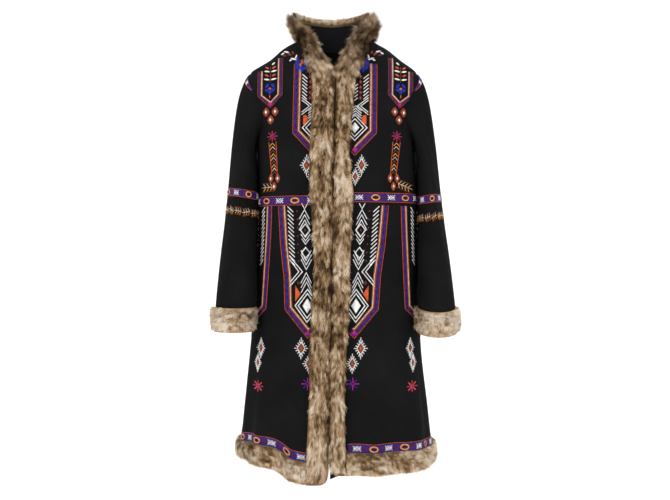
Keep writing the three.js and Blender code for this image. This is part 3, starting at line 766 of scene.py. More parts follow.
# Hairs: the first root, their lift and bend, length, unevenness and thickness
HAIR = {"first": 0.002, "lift": 0.45, "start": 0.25, "lie": 0.8, "bend": 0.7, "short": 0.6, "long": 1.15,
        "aside": 0.35, "along": 0.22, "stray": 0.13, "twist": 0.25, "thin": 0.4, "thick": 0.85, "sunk": 1.0}
# Light and dark: by patches, lock and hair, of some hairs and tips, and painted shade at the roots, on the skin
# and, by the power edge, towards a strip's edges
TONE = {"fine": 0.30, "broad": 0.22, "lock": 0.26, "hair": 0.09, "edge": 5, "dark_share": 0.10, "dark": 0.25,
        "tip_share": 0.3, "tip_dark": 0.20, "tip_light": 0.13, "root": 0.34}
# Patches of unevenness: their length, their width, and what each adds to the seed
PATCHES = {"skin": (16, 0.5, 5), "wander": (21, 9, 7), "aside": (26, 13, 2), "along": (19, 11, 3),
           "fine": (7, 3, 4), "broad": (27, 15, 6)}
PATCH_ROWS, PATCH_COLUMNS, PATCH_START = 61, 47, 500

FUR_COLOURS = np.array([
    (0.022, 0.013, 0.008),
    (0.088, 0.045, 0.019),
    (0.255, 0.140, 0.058),
    (0.515, 0.325, 0.155),
    (0.780, 0.590, 0.375),
    (0.900, 0.800, 0.670),
])
ASH = (0.30, 0.29, 0.29)


def fur_colour(tone, ash=0.0):
    """A colour from dark brown (0) through tan to near white (1), on straight lines between the
    shades. Ash draws the dark end towards grey."""
    places = np.linspace(0, 1, len(FUR_COLOURS))
    brown = np.stack([np.interp(tone, places, FUR_COLOURS[:, k]) for k in range(3)], -1)
    grey = np.array(ASH) * np.clip(tone, 0.12, 1)[:, None]
    return mix(brown, grey, (ash * np.clip(1.15 - 1.3 * tone, 0, 1))[:, None])


# Swellings of a strip: how high each is, its length and how far it slants across
WAVES = ((0.5, 31, 0), (0.4, 17.3, 1.3), (0.3, 9.1, 2.2), (0.2, 23, 5), (0.3, 47, -2))


def waves(length, across, seed):
    """Slow swellings along and across a strip: a sum of sines whose phases come from the seed."""
    phases = np.random.default_rng(seed).uniform(0, 2 * math.pi, 5)
    return sum(
        high * np.sin(length / long + wide * across + phase)
        for (high, long, wide), phase in zip(WAVES, phases)
    )


def patches(kind, length, across, seed):
    """Uneven light and dark: random values on a grid of cells, read smoothly between them."""
    long, wide, more = PATCHES[kind]
    kept = np.random.default_rng(seed + more).uniform(-1, 1, (PATCH_ROWS, PATCH_COLUMNS))
    i, j = length / long + PATCH_START, across / wide + PATCH_START
    i0, j0 = np.floor(i).astype(int), np.floor(j).astype(int)
    fi, fj = ease(i - i0), ease(j - j0)
    i1, j1 = (i0 + 1) % PATCH_ROWS, (j0 + 1) % PATCH_COLUMNS
    i0, j0 = i0 % PATCH_ROWS, j0 % PATCH_COLUMNS
    return mix(mix(kept[i0, j0], kept[i1, j0], fi), mix(kept[i0, j1], kept[i1, j1], fi), fj)


def spread_grid(values, s, a):
    """Values of a grid between its points, weighted by nearness (bilinear)."""
    rows, columns = values.shape[:2]
    i = s * (rows - 1)
    j = np.arccos(np.clip(-a, -1, 1)) / math.pi * (columns - 1)
    i0, j0 = np.clip(i.astype(int), 0, rows - 2), np.clip(j.astype(int), 0, columns - 2)
    fi, fj = (i - i0)[:, None], (j - j0)[:, None]
    upper = mix(values[i0, j0], values[i0, j0 + 1], fj)
    return mix(upper, mix(values[i0 + 1, j0], values[i0 + 1, j0 + 1], fj), fi)


def fur_skin(place, deepest, rows, seed):
    """The lumpy skin of a strip, with its normals and its two slopes, the depth of the pile, the
    length along the strip, the share across it and its mean width. The pile's depth is a power of
    the share across times the strip's depth, and dips at the joints of the pelts."""
    s = np.linspace(0, 1, rows)[:, None]
    a = -np.cos(np.linspace(0, math.pi, SKIN["columns"]))[None]
    s, a = np.broadcast_arrays(s, a)
    point, out = place(s, a)
    middle = point[:, SKIN["columns"] // 2]
    length = np.r_[0, np.cumsum(np.linalg.norm(np.diff(middle, axis=0), axis=-1))]
    width = np.linalg.norm(np.diff(point, axis=1), axis=-1).sum(1).mean()
    crown = np.maximum(1 - np.abs(a) ** SKIN["edge"], 0) ** SKIN["crown"]
    along = np.broadcast_to(length[:, None], a.shape)
    joint = np.abs((along / PELT_LENGTH + 0.5) % 1 - 0.5) * PELT_LENGTH
    lumps = SKIN["level"] + SKIN["waves"] * waves(along, a, seed)
    lumps = lumps + SKIN["lumps"] * patches("skin", along, a, seed)
    lumps = lumps - SKIN["joint"] * np.exp(-((joint / SKIN["joint_reach"]) ** 2))
    depth = np.broadcast_to(deepest(s) * np.ones_like(a), a.shape)
    raised = SKIN["foot"] + (depth - SKIN["lip"]) * crown * SKIN["rise"] * lumps
    skin = point + out * raised[..., None]
    tangent, aside = unit(np.gradient(skin, axis=0)), unit(np.gradient(skin, axis=1))
    normal = np.cross(tangent, aside)
    normal = unit(normal * np.sign((normal * out).sum(-1, keepdims=True)) + SKIN["tilt"] * out)
    shell, (faces,) = wall(skin, point + out * SKIN["base"])
    if six_volumes(shell, faces) < 0:
        faces = faces[:, ::-1]
    return shell, faces, (skin, normal, tangent, aside, depth[..., None]), along, a, width


def locks(picks, far, wide, cell, seed):
    """The lock that each hair belongs to, as five random values, and how far across the strip its
    middle is from the hair. Locks are the cells of a grid over the strip, whose lines wander."""
    wander = LOCK["wander"] * patches("wander", far, wide, seed)
    i = (far + picks.normal(0, LOCK["stray"], len(far))) / cell[0]
    j = (wide + wander) / cell[1]
    ci, cj = np.floor(i).astype(int), np.floor(j).astype(int)
    rows, columns = LOCK["kept"]
    lock = picks.uniform(-1, 1, (rows, columns, 5))[ci % rows, cj % columns]
    return lock, (cj + 0.5 + LOCK["off"] * lock[:, 1] - j) * cell[1]


def hair_blades(picks, root, n, w, lie, size, to_middle):
    """Thin blades through three places: a root, the root plus half the length along the lean, and a
    tip that bends on towards the flow and draws in to the middle of its lock."""
    half = (size * 0.5)[:, None]
    mid = root + unit(n * (HAIR["lift"] + HAIR["start"]) + HAIR["lie"] * lie) * half
    tip = mid + unit(n * HAIR["lift"] * HAIR["bend"] + lie) * half
    tip = tip + LOCK["draw"] * unit(w) * to_middle[:, None]
    flat = unit(np.cross(tip - root, n) + picks.normal(0, HAIR["twist"], root.shape))
    thick = picks.uniform(HAIR["thin"], HAIR["thick"], len(root))[:, None]
    root = root - n * HAIR["sunk"]
    foot, waist = flat * thick / 2, flat * thick * 0.4
    return np.stack([root - foot, root + foot, mid + waist, mid - waist, tip], 1).reshape(-1, 3)


def hair_tones(picks, tone, far, wide, share, lock, dark, seed):
    """Each hair's tone at the five corners of its blade: dark at the root as painted shade, and at the tip
    lighter or darker. It is also darkened towards the strip's edges as painted shade."""
    count = len(far)
    for kind in ("fine", "broad"):
        tone = tone + TONE[kind] * patches(kind, far, wide, seed)
    tone = tone + TONE["lock"] * lock * np.abs(lock) ** 0.5 + picks.normal(0, TONE["hair"], count)
    # Painted shade: each side of the strip is darker towards its edge, by a power of the share across
    tone = tone - np.where(share > 0, dark[1], dark[0]) * np.abs(share) ** TONE["edge"]
    tone = np.where(picks.uniform(0, 1, count) < TONE["dark_share"], tone - TONE["dark"], tone)
    darker = picks.uniform(0, 1, count) < TONE["tip_share"]
    tip = np.where(darker, tone - TONE["tip_dark"], tone + TONE["tip_light"])
    # Painted shade: the root is darkened for the little light that reaches down between the hairs
    root = tone - TONE["root"]
    return np.stack([root, root, tone, tone, tip], 1).ravel()


def fur(name, place, deepest, shade, seed, hairs, flow, reach=19.0, rows=200, hold=(0.9, 0.9),
        splay=(0.3, 0.3), ash=0.0, cell=(11.0, 4.4), dark=(0.16, 0.16), stop=0.998, solid=True):
    """A fur strip: a lumpy skin at half the pile's depth, and hairs that leave it leaning along the
    flow.

    The flow is rows of a share of the length, the lean along the strip and the lean across it. Hold
    is how far out the roots reach on the two sides, splay how much the hairs of each side lean
    outwards, dark how much painted shade darkens each side at its edge, and stop where the last roots
    are."""
    shell, skin_faces, grids, along, across, width = fur_skin(place, deepest, rows, seed)
    picks = np.random.default_rng(seed)
    hs = picks.uniform(HAIR["first"], stop, hairs)
    ha = picks.uniform(-hold[0], hold[1], hairs)
    root, n, t, w, depth = (spread_grid(grid, hs, ha) for grid in grids)
    far, wide = hs * along[-1, 0], ha * width / 2
    lock, to_middle = locks(picks, far, wide, cell, seed)
    size = reach * (0.85 + 0.2 * lock[:, 2]) * picks.uniform(HAIR["short"], HAIR["long"], hairs)
    size *= 0.5 + 0.5 * np.clip(depth[:, 0] / 20, 0.2, 1.3)
    stations, lengthwise, sideways = np.array(flow, float).T
    outward = np.where(ha > 0, splay[1], splay[0]) * ha
    lie = np.interp(hs, stations, lengthwise)[:, None] * t
    lie = lie + (np.interp(hs, stations, sideways) + outward)[:, None] * w
    for kind, way in (("aside", w), ("along", t)):
        lie = lie + (HAIR[kind] * patches(kind, far, wide, seed))[:, None] * way
    lie = lie + LOCK["lean"] * (lock[:, 3:4] * t + lock[:, 4:5] * w)
    lie = lie + picks.normal(0, HAIR["stray"], (hairs, 3))
    blades = hair_blades(picks, root, n, w, lie, size, to_middle)
    first = len(shell) + 5 * np.arange(hairs)[:, None]
    body, ends = first + np.array([0, 1, 2, 3]), first + np.array([3, 2, 4])

    hair_tone = hair_tones(picks, shade(far, ha), far, wide, ha, lock[:, 2], dark, seed)
    # Painted shade: the skin under the hairs is darkened by the same amount as the hair roots
    skin_tone = np.clip(shade(along, across) - TONE["root"], 0.04, 0.6).ravel()
    dye = fur_colour(np.clip(np.r_[skin_tone, skin_tone, hair_tone], 0, 1), ash)
    thing = piece(name.replace("fur", "hair"), np.concatenate([shell, blades]), [skin_faces, body, ends],
                  [hair()], turn=False)
    colour = thing.data.color_attributes.new("dye", "FLOAT_COLOR", "POINT")
    colour.data.foreach_set("color", np.c_[dye, np.ones(len(dye))].ravel())
    if solid:
        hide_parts(name)
    return thing


def strip_edge(hand, height):
    """Where a front strip's outer edge lies, from side to side."""
    column = "left" if hand > 0 else "right"
    return front_line(height) + hand * read(FRONT_WIDTHS, "height", height, column)


def front_fur(hand):
    """The strip down a front edge, with a quarter round at the inner corner of its foot."""
    bottom = hem_height(hand * STRIP_FOOT["turn"]) - HEM_STRIP["below"]

    def place(s, a):
        height = mix(FRONT_TOP - 1, bottom, s)
        corner = np.clip(1 - (height - bottom) / STRIP_FOOT["tall"], 0, 1)
        rounded = STRIP_FOOT["wide"] * (1 - np.sqrt(1 - corner**2))
        near = front_line(height) + hand * (STRIP_FOOT["clear"] + rounded)
        x = mix(near, strip_edge(hand, height), (1 + a) / 2)
        return body_laid(turn_at(x, height), height)

    def deepest(s):
        ending = np.clip(1 - (1 - s) * STRIP_FOOT["last"], 0, 1)
        return FUR_DEPTH["front"] * (1 - STRIP_FOOT["thinner"] * ending ** 3)

    return place, deepest


def hem_above(turn):
    """The hem strip is tall in front and at the back, and lower at the sides."""
    side = np.abs(np.sin(np.radians(turn))) ** HEM_STRIP["power"]
    return mix(HEM_STRIP["above"], HEM_STRIP["side"], side)


def hem_fur(start, stop):
    """The strip round the hem, from one turn to another."""

    def place(s, a):
        turn = mix(start, stop, s)
        height = hem_height(turn) + mix(-HEM_STRIP["below"], hem_above(turn), (1 + a) / 2)
        return body_laid(turn, height)

    return place, lambda s: FUR_DEPTH["hem"] + 0 * s


def cuff_fur(hand):
    """The strip round a cuff, deepest on its outer side."""

    def place(s, a):
        height = mix(CUFF_STRIP["top"], CUFF_STRIP["bottom"], (1 + a) / 2)
        return sleeve_laid(hand, s * 360, sleeve_down(height))

    def deepest(s):
        return mix(CUFF_DEPTH["inner"], CUFF_DEPTH["outer"], ease((1 + np.cos(2 * math.pi * s)) * 0.8))

    return place, deepest


def collar_fur():
    """The strip over the whole collar, deepest on the wearer's left."""

    def place(s, a):
        return collar_laid(mix(0.004, 1.996, s), mix(0.04, 1.02, (1 + a) / 2))

    def deepest(s):
        way = 2 * s
        along = np.where(way <= 1, way, 2 - way)
        side = np.where(way <= 1, FUR_DEPTH["collar_left"], FUR_DEPTH["collar_right"])
        raised = mix(FUR_DEPTH["front"] + 4, side, ease(along / 0.5))
        return mix(raised, FUR_DEPTH["collar_back"], ease((along - 0.72) / 0.28))

    return place, deepest


def collar_rim(s, a):
    """The inside of the collar's edge behind the neck, where the fur turns over the cloth."""
    point, out = collar_laid(mix(0.66, 1.34, s), mix(0.82, 1.02, (1 + a) / 2))
    return point - out * (CLOTH + 0.2), -out


def shade_by(*stops):
    """Light and dark down a strip, on straight lines between lengths and tones."""
    lengths, tones = zip(*stops)
    return lambda length, across: np.interp(length, lengths, tones) + 0 * across


# Light and dark down each strip: lengths in millimetres from its start, and tones
FRONT_SHADES = {
    -1: shade_by((0, 0.60), (45, 0.56), (75, 0.43), (128, 0.46), (158, 0.62), (195, 0.56), (240, 0.50),
                 (290, 0.42), (366, 0.44), (388, 0.60), (408, 0.42), (500, 0.38), (545, 0.50), (585, 0.58),
                 (608, 0.42), (677, 0.50), (742, 0.60), (810, 0.54), (860, 0.66), (940, 0.68)),
    1: shade_by((0, 0.60), (42, 0.62), (70, 0.50), (140, 0.48), (167, 0.60), (232, 0.58), (245, 0.95),
                (280, 0.86), (304, 0.50), (370, 0.46), (394, 0.60), (464, 0.64), (510, 0.42), (590, 0.40),
                (626, 0.50), (718, 0.45), (770, 0.58), (826, 0.50), (858, 0.64), (940, 0.66)),
}
HEM_SHADES = shade_by((0, 0.68), (90, 0.66), (160, 0.76), (300, 0.80))
HEM_BACK_SHADES = shade_by((0, 0.64), (260, 0.60), (520, 0.66))
CUFF_SHADES = shade_by((0, 0.88), (140, 0.80), (300, 0.88))
COLLAR_SHADES = shade_by((0, 0.56), (60, 0.46), (110, 0.40), (170, 0.50), (260, 0.50), (420, 0.46),
                         (520, 0.44), (600, 0.52), (660, 0.60))
RIM_SHADES = shade_by((0, 0.45), (60, 0.36), (130, 0.62), (300, 0.60))

# Which way the hairs lie: share of the strip's length, lean along it and lean across it
FRONT_FLOW = [(0, 0.85, 0), (0.96, 0.85, 0), (1, 0.3, 0)]
COLLAR_FLOW = [(0, -0.85, -0.1), (0.11, -0.8, 0), (0.22, -0.4, 0.35), (0.34, 0.1, 0.5), (0.5, 0, 0.8),
               (0.66, -0.1, 0.5), (0.78, 0.4, 0.35), (0.89, 0.8, 0), (1, 0.85, -0.1)]


def all_fur():
    hem = {"reach": 15, "hold": (0.78, 0.97), "cell": (7, 8)}
    for name, hand in HANDS.items():
        # The front strips take heavy painted shade along their inner edges, where the two strips meet
        fur(f"fur_front_{name}", *front_fur(hand), FRONT_SHADES[hand], 21 + hand, 34000, FRONT_FLOW,
            hold=(0.87, 0.74), splay=(-0.2, 0.16), dark=(0.5, 0.2), stop=0.985)
        start = float(turn_at(strip_edge(hand, HEM_LEVEL) + hand * 0.5, np.array(HEM_LEVEL)))
        fur(f"fur_hem_{name}", *hem_fur(start, hand * 90), HEM_SHADES, 31 + hand, 16000,
            [(0, 0.25 * hand, -0.75)], rows=90, ash=0.05, **hem)
        fur(f"fur_cuff_{name}", *cuff_fur(hand), CUFF_SHADES, 41 + hand, 20000, [(0, 0.12, 0.85)],
            reach=17, rows=90, hold=(0.97, 0.66), ash=0.1, cell=(7, 9))
    fur("fur_hem_back", *hem_fur(90, 270), HEM_BACK_SHADES, 51, 23000, [(0, 0.2, -0.75)],
        rows=150, ash=0.15, **hem)
    fur("fur_collar", *collar_fur(), COLLAR_SHADES, 61, 42000, COLLAR_FLOW,
        rows=180, hold=(0.86, 0.93), cell=(8, 8), splay=(0.1, 0.1), ash=0.25, dark=(0.25, 0.1))
    fur("fur_collar_rim", collar_rim, lambda s: 8 + 0 * s, RIM_SHADES, 71, 7000, [(0, 0, 0.9)],
        reach=15, rows=60, hold=(0.6, 0.97), splay=(0.1, 0.1), ash=0.2, cell=(5, 6), solid=False)


HANDS = {"left": 1, "right": -1}


# Embroidery: places across a ridge as shares of its width, the rings of a dome, and how high they
# rise
RIDGE = {"across": (-0.5, -0.3, 0, 0.3, 0.5, 0), "rise": (0.02, 0.8, 1, 0.8, 0.02, 0)}
DOME = {"rings": (1, 0.86, 0.5), "rise": (0.02, 0.8, 0.97)}
UNDER_CLOTH = -0.5


def cut_up(path, step):
    """A path with more places on it, no further apart than the step, and without its last one."""
    counts = np.maximum(np.ceil(np.linalg.norm(np.diff(path, axis=0), axis=1) / step).astype(int), 1)
    return np.concatenate([mix(a, b, np.arange(n)[:, None] / n) for a, b, n in zip(path, path[1:], counts)])


class Stitching:
    """Stitches gathered for one piece. A sheet turns flat places in millimetres into points on the
    cloth and the outward directions there, and every stitch is a closed ridge or dome of thread
    raised on them."""

    def __init__(self, sheet):
        self.sheet = sheet
        self.points, self.uv, self.quads, self.tris = [], [], [], []
        self.quad_kinds, self.tri_kinds, self.count = [], [], 0

    def raise_up(self, flat, heights, uv):
        point, out = self.sheet(flat[..., 0], flat[..., 1])
        self.points.append((point + out * heights[..., None]).reshape(-1, 3))
        self.uv.append(uv.reshape(-1, 2))
        first = self.count
        self.count += len(self.points[-1])
        return first

    def keep(self, dye, quads=None, tris=None):
        kind = THREAD_ORDER.index(dye)
        if quads is not None:
            self.quads.append(quads)
            self.quad_kinds.append(np.full(len(quads), kind))
        if tris is not None:
            self.tris.append(tris)
            self.tri_kinds.append(np.full(len(tris), kind))

    def ridge(self, path, width, dye, rise=0.9, lift=0.0, closed=False, step=8.0):
        """A rounded ridge along a path: five places across it on a half round, and one below the
        cloth."""
        path = np.asarray(path, float)
        if closed:
            path = np.vstack([path, path[:1]])
        fine = cut_up(path, step)
        if not closed:
            fine = np.vstack([fine, path[-1:]])
        ahead = np.roll(fine, -1, 0) - fine
        behind = np.roll(ahead, 1, 0)
        if not closed:
            ahead[-1], behind[0] = behind[-1], ahead[0]
        ahead, behind = unit(ahead), unit(behind)
        middle = unit(ahead + behind)
        reach = 1 / np.maximum((middle * ahead).sum(-1), 0.55)
        side = np.stack([-middle[:, 1], middle[:, 0]], -1) * reach[:, None]
        across = np.array(RIDGE["across"]) * width
        heights = np.array(RIDGE["rise"]) * rise + lift
        heights[-1] = UNDER_CLOTH
        flat = fine[:, None] + side[:, None] * across[None, :, None]
        length = np.r_[0, np.cumsum(np.linalg.norm(np.diff(fine, axis=0), axis=1))]
        uv = np.stack(np.broadcast_arrays(length[:, None], across[None]), -1)
        first = self.raise_up(flat, np.broadcast_to(heights, flat.shape[:2]), uv)
        rows = len(fine)
        index = first + np.arange(rows * 6).reshape(rows, 6)
        if closed:
            index = np.vstack([index, index[:1]])
        right = np.roll(index, -1, 1)
        quads = np.stack([index[:-1], index[1:], right[1:], right[:-1]], -1).reshape(-1, 4)
        if not closed:
            ends = [index[0][[0, 1, 4, 5]], index[0][[1, 2, 3, 4]]]
            ends += [index[-1][[5, 4, 1, 0]], index[-1][[4, 3, 2, 1]]]
            quads = np.vstack([quads, ends])
        self.keep(dye, quads=quads)

    def dome(self, outline, dye, rise=1.0, lift=0.0, step=9.0):
        """A filled shape: its outline drawn in towards the middle in rings that rise on a quarter
        round, closed by a place on top and one below the cloth."""
        outline = np.asarray(outline, float)
        fine = cut_up(np.vstack([outline, outline[:1]]), step)
        middle = fine.mean(0)
        flat = middle + (fine - middle)[None] * np.array(DOME["rings"])[:, None, None]
        heights = np.broadcast_to((np.array(DOME["rise"]) * rise + lift)[:, None], flat.shape[:2])
        flat = np.vstack([flat.reshape(-1, 2), middle, middle])
        heights = np.r_[heights.ravel(), rise + lift, UNDER_CLOTH]
        first = self.raise_up(flat, heights, flat - middle)
        count = len(fine)
        index = first + np.arange(3 * count).reshape(3, count)
        right = np.roll(index, -1, 1)
        quads = np.stack([index[:-1], right[:-1], right[1:], index[1:]], -1).reshape(-1, 4)
        top, below = first + 3 * count, first + 3 * count + 1
        tris = np.vstack([np.c_[index[2], right[2], np.full(count, top)],
                          np.c_[right[0], index[0], np.full(count, below)]])
        turned = np.cross(fine[0] - middle, fine[1] - middle) < 0
        self.keep(dye, quads=quads[:, ::-1] if turned else quads, tris=tris[:, ::-1] if turned else tris)

    def make(self, name):
        faces = [np.vstack(block) for block in (self.quads, self.tris) if block]
        kinds = np.concatenate(self.quad_kinds + self.tri_kinds)
        materials = [thread(dye) for dye in THREAD_ORDER]
        return piece(name, np.vstack(self.points), faces, materials, np.vstack(self.uv), kinds)

    # Motifs
    def diamond(self, centre, half_width, half_height, dye, **more):
        self.dome(corners(centre, half_width, half_height), dye, **more)

    def diamond_line(self, centre, half_width, half_height, dye, width=2.2, **more):
        self.ridge(corners(centre, half_width, half_height), width, dye, closed=True, **more)

    def star(self, centre, radius, dye, tips, width=2.8):
        """Eight rays, every other one in the second colour."""
        for k in range(8):
            far = ray(k * 45) * radius
            self.ridge([centre + far * 0.12, centre + far], width, (dye, tips)[k % 2], rise=1.1)

    def oval(self, centre, half_width, half_height):
        around = centre + ellipse(half_width, half_height, 20)
        self.ridge(around, 3.0, "yellow", closed=True, lift=0.6, rise=1.0)
        self.dome(centre + ellipse(half_width * 0.48, half_height * 0.42, 12), "ink", lift=0.6, rise=0.7)

    def crossed_star(self, centre, half_width, half_height):
        """A white band star: two arrow heads facing each other through a cross, and a bar above and
        below."""
        x, y = half_width, half_height
        for hand in (-1, 1):
            self.ridge(centre + [[hand * x, y], [hand * x * 0.28, 0], [hand * x, -y]], 2.0, "white", lift=0.6)
            self.ridge(centre + [[hand * x, 0], [hand * x * 0.3, 0]], 1.8, "white", lift=0.6)
            tips = [[-x * 0.32, hand * y], [0, hand * y * 0.25], [x * 0.32, hand * y]]
            self.ridge(centre + tips, 1.8, "white", lift=0.6)

    def sunflower(self, centre, half_width, half_height, squeeze=1.0):
        """White rays round a diamond: short bars square to each side, from the inner outline to the
        outer one."""
        centre = np.asarray(centre, float)
        outer = corners((0, 0), half_width * squeeze, half_height)
        for side in range(4):
            a, b = outer[side], outer[(side + 1) % 4]
            for share in np.linspace(0, 1, 5)[:-1]:
                far = mix(a, b, share)
                self.ridge([centre + far * 0.66, centre + far], 2.1, "white", rise=1.0)
        self.diamond_line(centre, half_width * 0.56 * squeeze, half_height * 0.58, "white", 1.9)
        self.diamond(centre, half_width * 0.44 * squeeze, half_height * 0.46, "copper")
        self.diamond(centre, half_width * 0.17 * squeeze, half_height * 0.17, "orange", rise=1.5)

    def leaf(self, centre, length, width, angle, dye):
        """An almond: a sine across its length, pointed at both ends."""
        t = np.linspace(0, 2 * math.pi, 14, endpoint=False)
        shape = np.stack([np.cos(t) * length / 2, np.sin(t) * np.abs(np.sin(t)) ** 0.6 * width / 2], -1)
        self.dome(np.asarray(centre, float) + turned(shape, ray(angle)), dye, rise=1.2)

    def leaves(self, centre, *rows):
        """Leaves round a centre: how far out and up from it, length, width, angle and colour."""
        for out, up, length, width, angle, dye in rows:
            self.leaf(np.add(centre, (out, up)), length, width, angle, dye)

    def sprig(self, start, end, height, spacing=8.4):
        """A pale stem with pairs of slanted leaves that open towards its end, between two copper
        lines."""
        start, end = np.asarray(start, float), np.asarray(end, float)
        way = unit(end - start)
        side = np.array([-way[1], way[0]])
        self.ridge([start, end], 1.8, "cream", rise=1.2)
        for far in np.arange(0.5, np.linalg.norm(end - start) - 0.3 * height, spacing):
            for hand, dye in ((-1, "yellow"), (1, "cream")):
                tip = start + way * (far + height * 0.3) + side * hand * height * 0.42
                self.ridge([start + way * far, tip], 1.6, dye)
        for hand in (-1, 1):
            self.ridge([start + side * hand * height * 0.5, end + side * hand * height * 0.5], 1.2, "copper")


def ray(degrees):
    angle = math.radians(degrees)
    return np.array([math.cos(angle), math.sin(angle)])


def ellipse(half_width, half_height, count):
    t = np.linspace(0, 2 * math.pi, count, endpoint=False)
    return np.stack([np.cos(t) * half_width, np.sin(t) * half_height], -1)


def turned(shape, way):
    """A flat shape turned so that its own x runs along the way."""
    return shape[:, :1] * way + shape[:, 1:] * np.array([-way[1], way[0]])


def corners(centre, half_width, half_height):
    tips = [(half_width, 0), (0, half_height), (-half_width, 0), (0, -half_height)]
    return np.asarray(centre, float) + tips


def front_sheet(hand):
    """Flat places on a front: out from the middle line, and height."""
    return lambda out, height: body_laid(turn_at(front_line(height) + hand * out, height), height)


def girth_turns(height):
    """The girth from the middle of the front at one height, for every degree of turn."""
    turns = np.arange(-180.0, 181.0)
    steps = np.linalg.norm(np.diff(body_point(turns, np.full(361, float(height))), axis=0), axis=-1)
    girth = np.r_[0, np.cumsum(steps)]
    return girth - girth[180], turns


def side_sheet(way, level, hand):
    """Flat places beside a side seam: girth from the seam, towards the front or the back as the way
    says, and height."""
    girth, turns = girth_turns(level)
    seam = np.interp(hand * 90, turns, girth)
    half = read(BODY, "height", float(level), "half_width")

    def sheet(out, height):
        grown = read(BODY, "height", height, "half_width") / half
        return body_laid(np.interp(seam - way * out / grown, girth, turns), height)

    return sheet


def wrapped_sheet(girth, turns, line):
    """Flat places on a band round the body: girth, read off as a turn, and height over the band's
    line, which is a function of the turn."""

    def sheet(along, over):
        turn = np.interp(along, girth, turns)
        return body_laid(turn, line(turn) + over)

    return sheet


def band_sheet(level, line):
    """Flat places on a band whose along is the girth from the middle of the front."""
    return wrapped_sheet(*girth_turns(level), line)


# A border's lines: distance in from the outline, width, colour and rise. Its dashes: distance in, where they start
# and end on a side, how long they and the gaps are, and how much longer some are
BORDER = (
    (0.0, 1.3, "orange", 0.9),
    (-3.6, 4.6, "violet", 0.7),
    (-8.2, 3.2, "violet", 0.7),
    (-11.2, 1.4, "orange", 0.9),
    (-14.2, 2.6, "cream", 1.1),
    (-16.9, 1.1, "orange", 0.9),
)
DASHES = {"inset": -5.6, "first": 6.0, "end": 8, "long": 8, "longer": 5, "gap": 4, "wider": 4,
          "clear": 4}


def border(st, outline):
    """A panel's border: the same outline again and again, each time further in, and blue stitches of uneven length
    along its violet."""
    outline = np.asarray(outline, float)
    ahead = unit(np.diff(outline, axis=0))
    normals = np.stack([-ahead[:, 1], ahead[:, 0]], -1)
    after = np.vstack([normals, normals[-1:]])
    middle = unit(np.vstack([normals[:1], normals]) + after)
    shift = middle / np.maximum((middle * after).sum(-1), 0.5)[:, None]
    for inset, width, dye, rise in BORDER:
        st.ridge(outline + shift * inset, width, dye, rise=rise)
    for n, (a, b) in enumerate(zip(outline, outline[1:])):
        way = unit(b - a)
        line = a + np.array([-way[1], way[0]]) * DASHES["inset"]
        length = np.linalg.norm(b - a)
        at = DASHES["first"]
        k = n
        while at < length - DASHES["end"]:
            long = DASHES["long"] + DASHES["longer"] * math.sin(2.1 * k) ** 2
            end = min(at + long, length - DASHES["clear"])
            st.ridge([line + way * at, line + way * end], 3.2, "blue", rise=0.9)
            at += long + DASHES["gap"] + DASHES["wider"] * math.sin(1.7 * k + n) ** 2
            k += 1


def arrow(st, apex, half, drop, width=2.0, dye="white", **more):
    """Two slanted lines that meet at an apex; a drop below 0 opens upwards."""
    x, z = apex
    st.ridge([(x - half, z - drop), (x, z), (x + half, z - drop)], width, dye, **more)


def bars(st, count, top, pitch, line, run, drop, width, rise=1.1):
    """A column of slanted bars: each starts on the line at its own height, and runs so far out and
    down."""
    for k in range(count):
        z = top - pitch * k
        st.ridge([(line(z), z), (line(z) + run, z - drop)], width, "white", rise=rise)


def long_panel(st, outline, axis, edge, inner=False):
    """The long pointed panel: its border, slanted bars, dots, the column of arrows and diamonds, a
    double chevron, an orange piece and the nested diamond. The axis gives its middle line, out from
    the line of the sheet, and the edge how far from it the slanted bars start."""
    border(st, outline)
    bars(st, 14, -411, 9.6, lambda z: axis(z) + edge(z), -14, 13.5, 2.3, rise=1.2)
    for k in range(7):
        z = -422 - 19.5 * k
        st.diamond((axis(z) + 17.5, z), 1.9, 2.4, "copper", rise=1.2)
    if inner:
        return
    x = axis(-420)
    st.ridge([(x - 7, -404), (x, -417), (x + 7, -404)], 2.0, "white")
    for z, half, drop in (
        (-419, 12, 22), (-431, 13, 24), (-443, 13, 24),
        (-483, 12, -17), (-492, 11, -16), (-500, 9, -13),
        (-507, 7, 9),
        (-538, 12, -24), (-548, 12.5, -24), (-559, 12.5, -24),
        (-566, 12.5, 25), (-577, 12.5, 25), (-588, 12.5, 25),
    ):
        arrow(st, (axis(z), z), half, drop)
    st.diamond_line((axis(-467), -467), 11, 14.5, "white", 2.2)
    st.diamond_line((axis(-520), -520), 10, 12, "white", 2.2)
    st.diamond((axis(-467), -467), 2.2, 3.2, "copper")
    x = axis(-565)
    for out, rise in ((0, 0), (-8.5, 10)):
        ends = (x + edge(-535) + out * 0.2, -529 - rise), (x + edge(-600) + out * 0.1, -599 + rise)
        st.ridge([ends[0], (x + 9 - out, -564), ends[1]], 2.2, "white", rise=1.2)
    x = axis(-615)
    st.dome([(x + 28, -595), (x + 14, -616), (x + 27, -634)], "orange", rise=1.2)
    st.diamond_line((x + 20, -590), 3, 4, "copper", 1.3)
    middle = (axis(-643), -643)
    for half, high in ((28.5, 38), (21, 28.5)):
        st.diamond_line(middle, half, high, "white", 2.6, rise=1.2)
    st.diamond(middle, 11.5, 18, "white", rise=1.5)
    x = axis(-705)
    st.dome([(x, -714), (x + 9, -706), (x, -700), (x - 9, -706)], "magenta", rise=0.8)


def skirt_axis(z):
    return 67.5 + (z + 416) * 0.0485


def skirt_panel(st):
    outline = [(130, -409), (123, -500), (113, -575), (109, -652), (54, -718), (40, -704)]
    long_panel(st, outline, skirt_axis, lambda z: 40 + (z + 411) * 0.006)


SIDE_HALF = {1: 101, -1: 93}


